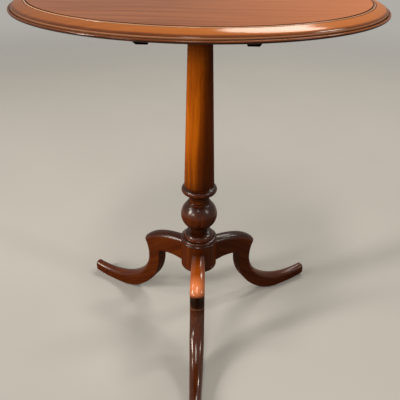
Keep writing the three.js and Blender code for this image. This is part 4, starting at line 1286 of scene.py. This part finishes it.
class TILTTOP_OT_column(Operator):
    """Turn the column: drum, ball, ring, tapered shaft and cap"""

    bl_idname = "tilt_top_table.column"
    bl_label = "Column"

    def execute(self, context):
        sizes = context.scene.tilt_top_table.column
        mesh = turned_mesh("column_turning", column_profile(sizes), sizes.sides)
        set_grain(mesh, (0, 0, 1), (1, 0, 0), (0.013, 0.021, 0.0))
        set_smooth(mesh, 38)
        finished_piece(mesh, "base", ["column"], "mahogany_base",
                       finish("polished_column"), finish("polished_shaft"))
        use_second_finish(mesh, *SHAFT)
        return {"FINISHED"}


class TILTTOP_OT_legs(Operator):
    """Shape the three S-curved legs round the drum"""

    bl_idname = "tilt_top_table.legs"
    bl_label = "Legs"

    def execute(self, context):
        sizes = context.scene.tilt_top_table.legs
        points, faces = leg_surface(sizes)
        for name, angle in (("front", FRONT_LEG), ("right", RIGHT_LEG), ("left", LEFT_LEG)):
            turn = np.array(Matrix.Rotation(angle, 3, "Z"))
            mesh = mesh_from(f"carved_leg_{name}", points @ turn.T, faces)
            along = turn @ np.array([math.cos(GRAIN_SLOPE), 0.0, -math.sin(GRAIN_SLOPE)])
            across = turn @ np.array([0.0, 1.0, 0.0])
            set_grain(mesh, along, across, 0.4 * along * (2 + angle))
            set_smooth(mesh, 40)
            wood_finish = finish("polished_front_leg" if name == "front" else "polished_base")
            finished_piece(mesh, "base", [f"leg_{name}"], "mahogany_base", wood_finish)
        return {"FINISHED"}


class TILTTOP_OT_strap_plate(Operator):
    """Dress the three-armed iron plate under the drum"""

    bl_idname = "tilt_top_table.strap_plate"
    bl_label = "Strap Plate"

    def execute(self, context):
        ease = context.scene.tilt_top_table.fittings.iron_ease
        eased_piece("forged_strap_plate", "strap_plate", "base", "iron",
                    finish("blackened_iron"), ease, 4 * MM)
        return {"FINISHED"}


class TILTTOP_OT_catch(Operator):
    """Dress the brass catch: its case, bolt, spring and strike plate"""

    bl_idname = "tilt_top_table.catch"
    bl_label = "Catch"

    def execute(self, context):
        ease = context.scene.tilt_top_table.fittings.brass_ease
        rows = (
            ("catch_case", "top", "brass", ease), ("catch_bolt", "catch_bolt", "brass", ease),
            ("strike_plate", "base", "brass", ease), ("catch_spring", "top", "steel", 0.1 * MM),
        )
        for node, body, slot, width in rows:
            eased_piece(f"{node}_dressed", node, body, slot,
                        finish(METAL_FINISHES[slot]), width, 3 * MM)
        return {"FINISHED"}


class TILTTOP_OT_catch_knob(Operator):
    """Turn the knob that draws the catch"""

    bl_idname = "tilt_top_table.catch_knob"
    bl_label = "Catch Knob"

    def execute(self, context):
        points, faces = turned_surface(knob_profile(), 56)
        middle = (KNOB_LOW + KNOB_HIGH) / 2
        mesh = mesh_from("turned_knob", points + np.array([middle.x, middle.y, 0.0]), faces)
        set_smooth(mesh, 35)
        finished_piece(mesh, "catch_bolt", ["catch_knob"], "brass", finish("aged_brass"))
        return {"FINISHED"}


class TILTTOP_OT_screws(Operator):
    """Make a slotted countersunk screw for every screw of the frame"""

    bl_idname = "tilt_top_table.screws"
    bl_label = "Screws"

    def execute(self, context):
        sizes = context.scene.tilt_top_table.fittings
        bodies = frame["record"]["behaviour"]["bodies"]
        slots = {row["node"]: row["material_slot"] for row in frame["record"]["subparts"]}
        patterns = {}
        turn = 0.0
        for body, nodes in bodies.items():
            for node in [name for name in nodes if "screw" in name]:
                low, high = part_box(node)
                size, middle = high - low, (low + high) / 2
                level = size.y > size.z
                head, reach = size.x / 2, size.y if level else size.z
                key = (round(head, 5), round(reach, 5))
                if key not in patterns:
                    patterns[key] = slotted_screw(sizes, "screw_pattern", head, reach)
                mesh = patterns[key].copy()
                mesh.name = f"slotted_{node}"
                turn += GOLDEN_ANGLE
                if level:
                    place = Matrix.Translation((middle.x, low.y, middle.z))
                    place = place @ Matrix.Rotation(-math.pi / 2, 4, "X")
                else:
                    place = Matrix.Translation((middle.x, middle.y, low.z))
                mesh.transform(place @ Matrix.Rotation(turn, 4, "Z"))
                set_smooth(mesh, 35)
                slot = slots[node]
                finished_piece(mesh, body, [node], slot, finish(METAL_FINISHES[slot]))
        for pattern in patterns.values():
            bpy.data.meshes.remove(pattern)
        return {"FINISHED"}


class TILTTOP_OT_stage(Operator):
    """Set out the floor, the surroundings, the lamps and the camera"""

    bl_idname = "tilt_top_table.stage"
    bl_label = "Stage"

    def execute(self, context):
        stage = context.scene.tilt_top_table.stage
        lay_floor(stage)
        set_surroundings(stage)
        for name, (way, width, height, light) in LAMPS.items():
            hang_lamp(name, Vector(way).normalized(), width, height, light)
        set_camera(stage)
        context.scene.view_settings.view_transform = "Standard"
        return {"FINISHED"}


# ---------------------------------------------------------------- panel and registration


class TableSettings(PropertyGroup):
    """Everything about the table that a user would change"""

    top_board: PointerProperty(type=TopBoardSizes)
    column: PointerProperty(type=ColumnSizes)
    legs: PointerProperty(type=LegSizes)
    fittings: PointerProperty(type=FittingSizes)
    colours: PointerProperty(type=FinishColours)
    stage: PointerProperty(type=StageSizes)


OPERATORS = (
    TILTTOP_OT_top_board,
    TILTTOP_OT_underframe,
    TILTTOP_OT_column,
    TILTTOP_OT_legs,
    TILTTOP_OT_strap_plate,
    TILTTOP_OT_catch,
    TILTTOP_OT_catch_knob,
    TILTTOP_OT_screws,
    TILTTOP_OT_stage,
)


class TILTTOP_PT_table(Panel):
    """Buttons for each group of pieces, and the sizes and colours they read"""

    bl_idname = "TILTTOP_PT_table"
    bl_label = "Tilt Top Table"
    bl_space_type = "VIEW_3D"
    bl_region_type = "UI"
    bl_category = "Table"

    def draw(self, context):
        for operator in OPERATORS:
            self.layout.operator(operator.bl_idname)
        settings = context.scene.tilt_top_table
        for group in TableSettings.__annotations__:
            box = self.layout.box()
            box.label(text=spoken(group))
            part = getattr(settings, group)
            for name in type(part).__annotations__:
                box.prop(part, name)


CLASSES = (
    TopBoardSizes, ColumnSizes, LegSizes, FittingSizes, FinishColours, StageSizes, TableSettings,
    *OPERATORS, TILTTOP_PT_table,
)


def register():
    for item in CLASSES:
        bpy.utils.register_class(item)
    bpy.types.Scene.tilt_top_table = PointerProperty(type=TableSettings)


def unregister():
    del bpy.types.Scene.tilt_top_table
    for item in reversed(CLASSES):
        bpy.utils.unregister_class(item)


def main():
    """Registers the add-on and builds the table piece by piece"""
    register()
    for operator in OPERATORS:
        group, name = operator.bl_idname.split(".")
        getattr(getattr(bpy.ops, group), name)()


if __name__ == "__main__":
    main()
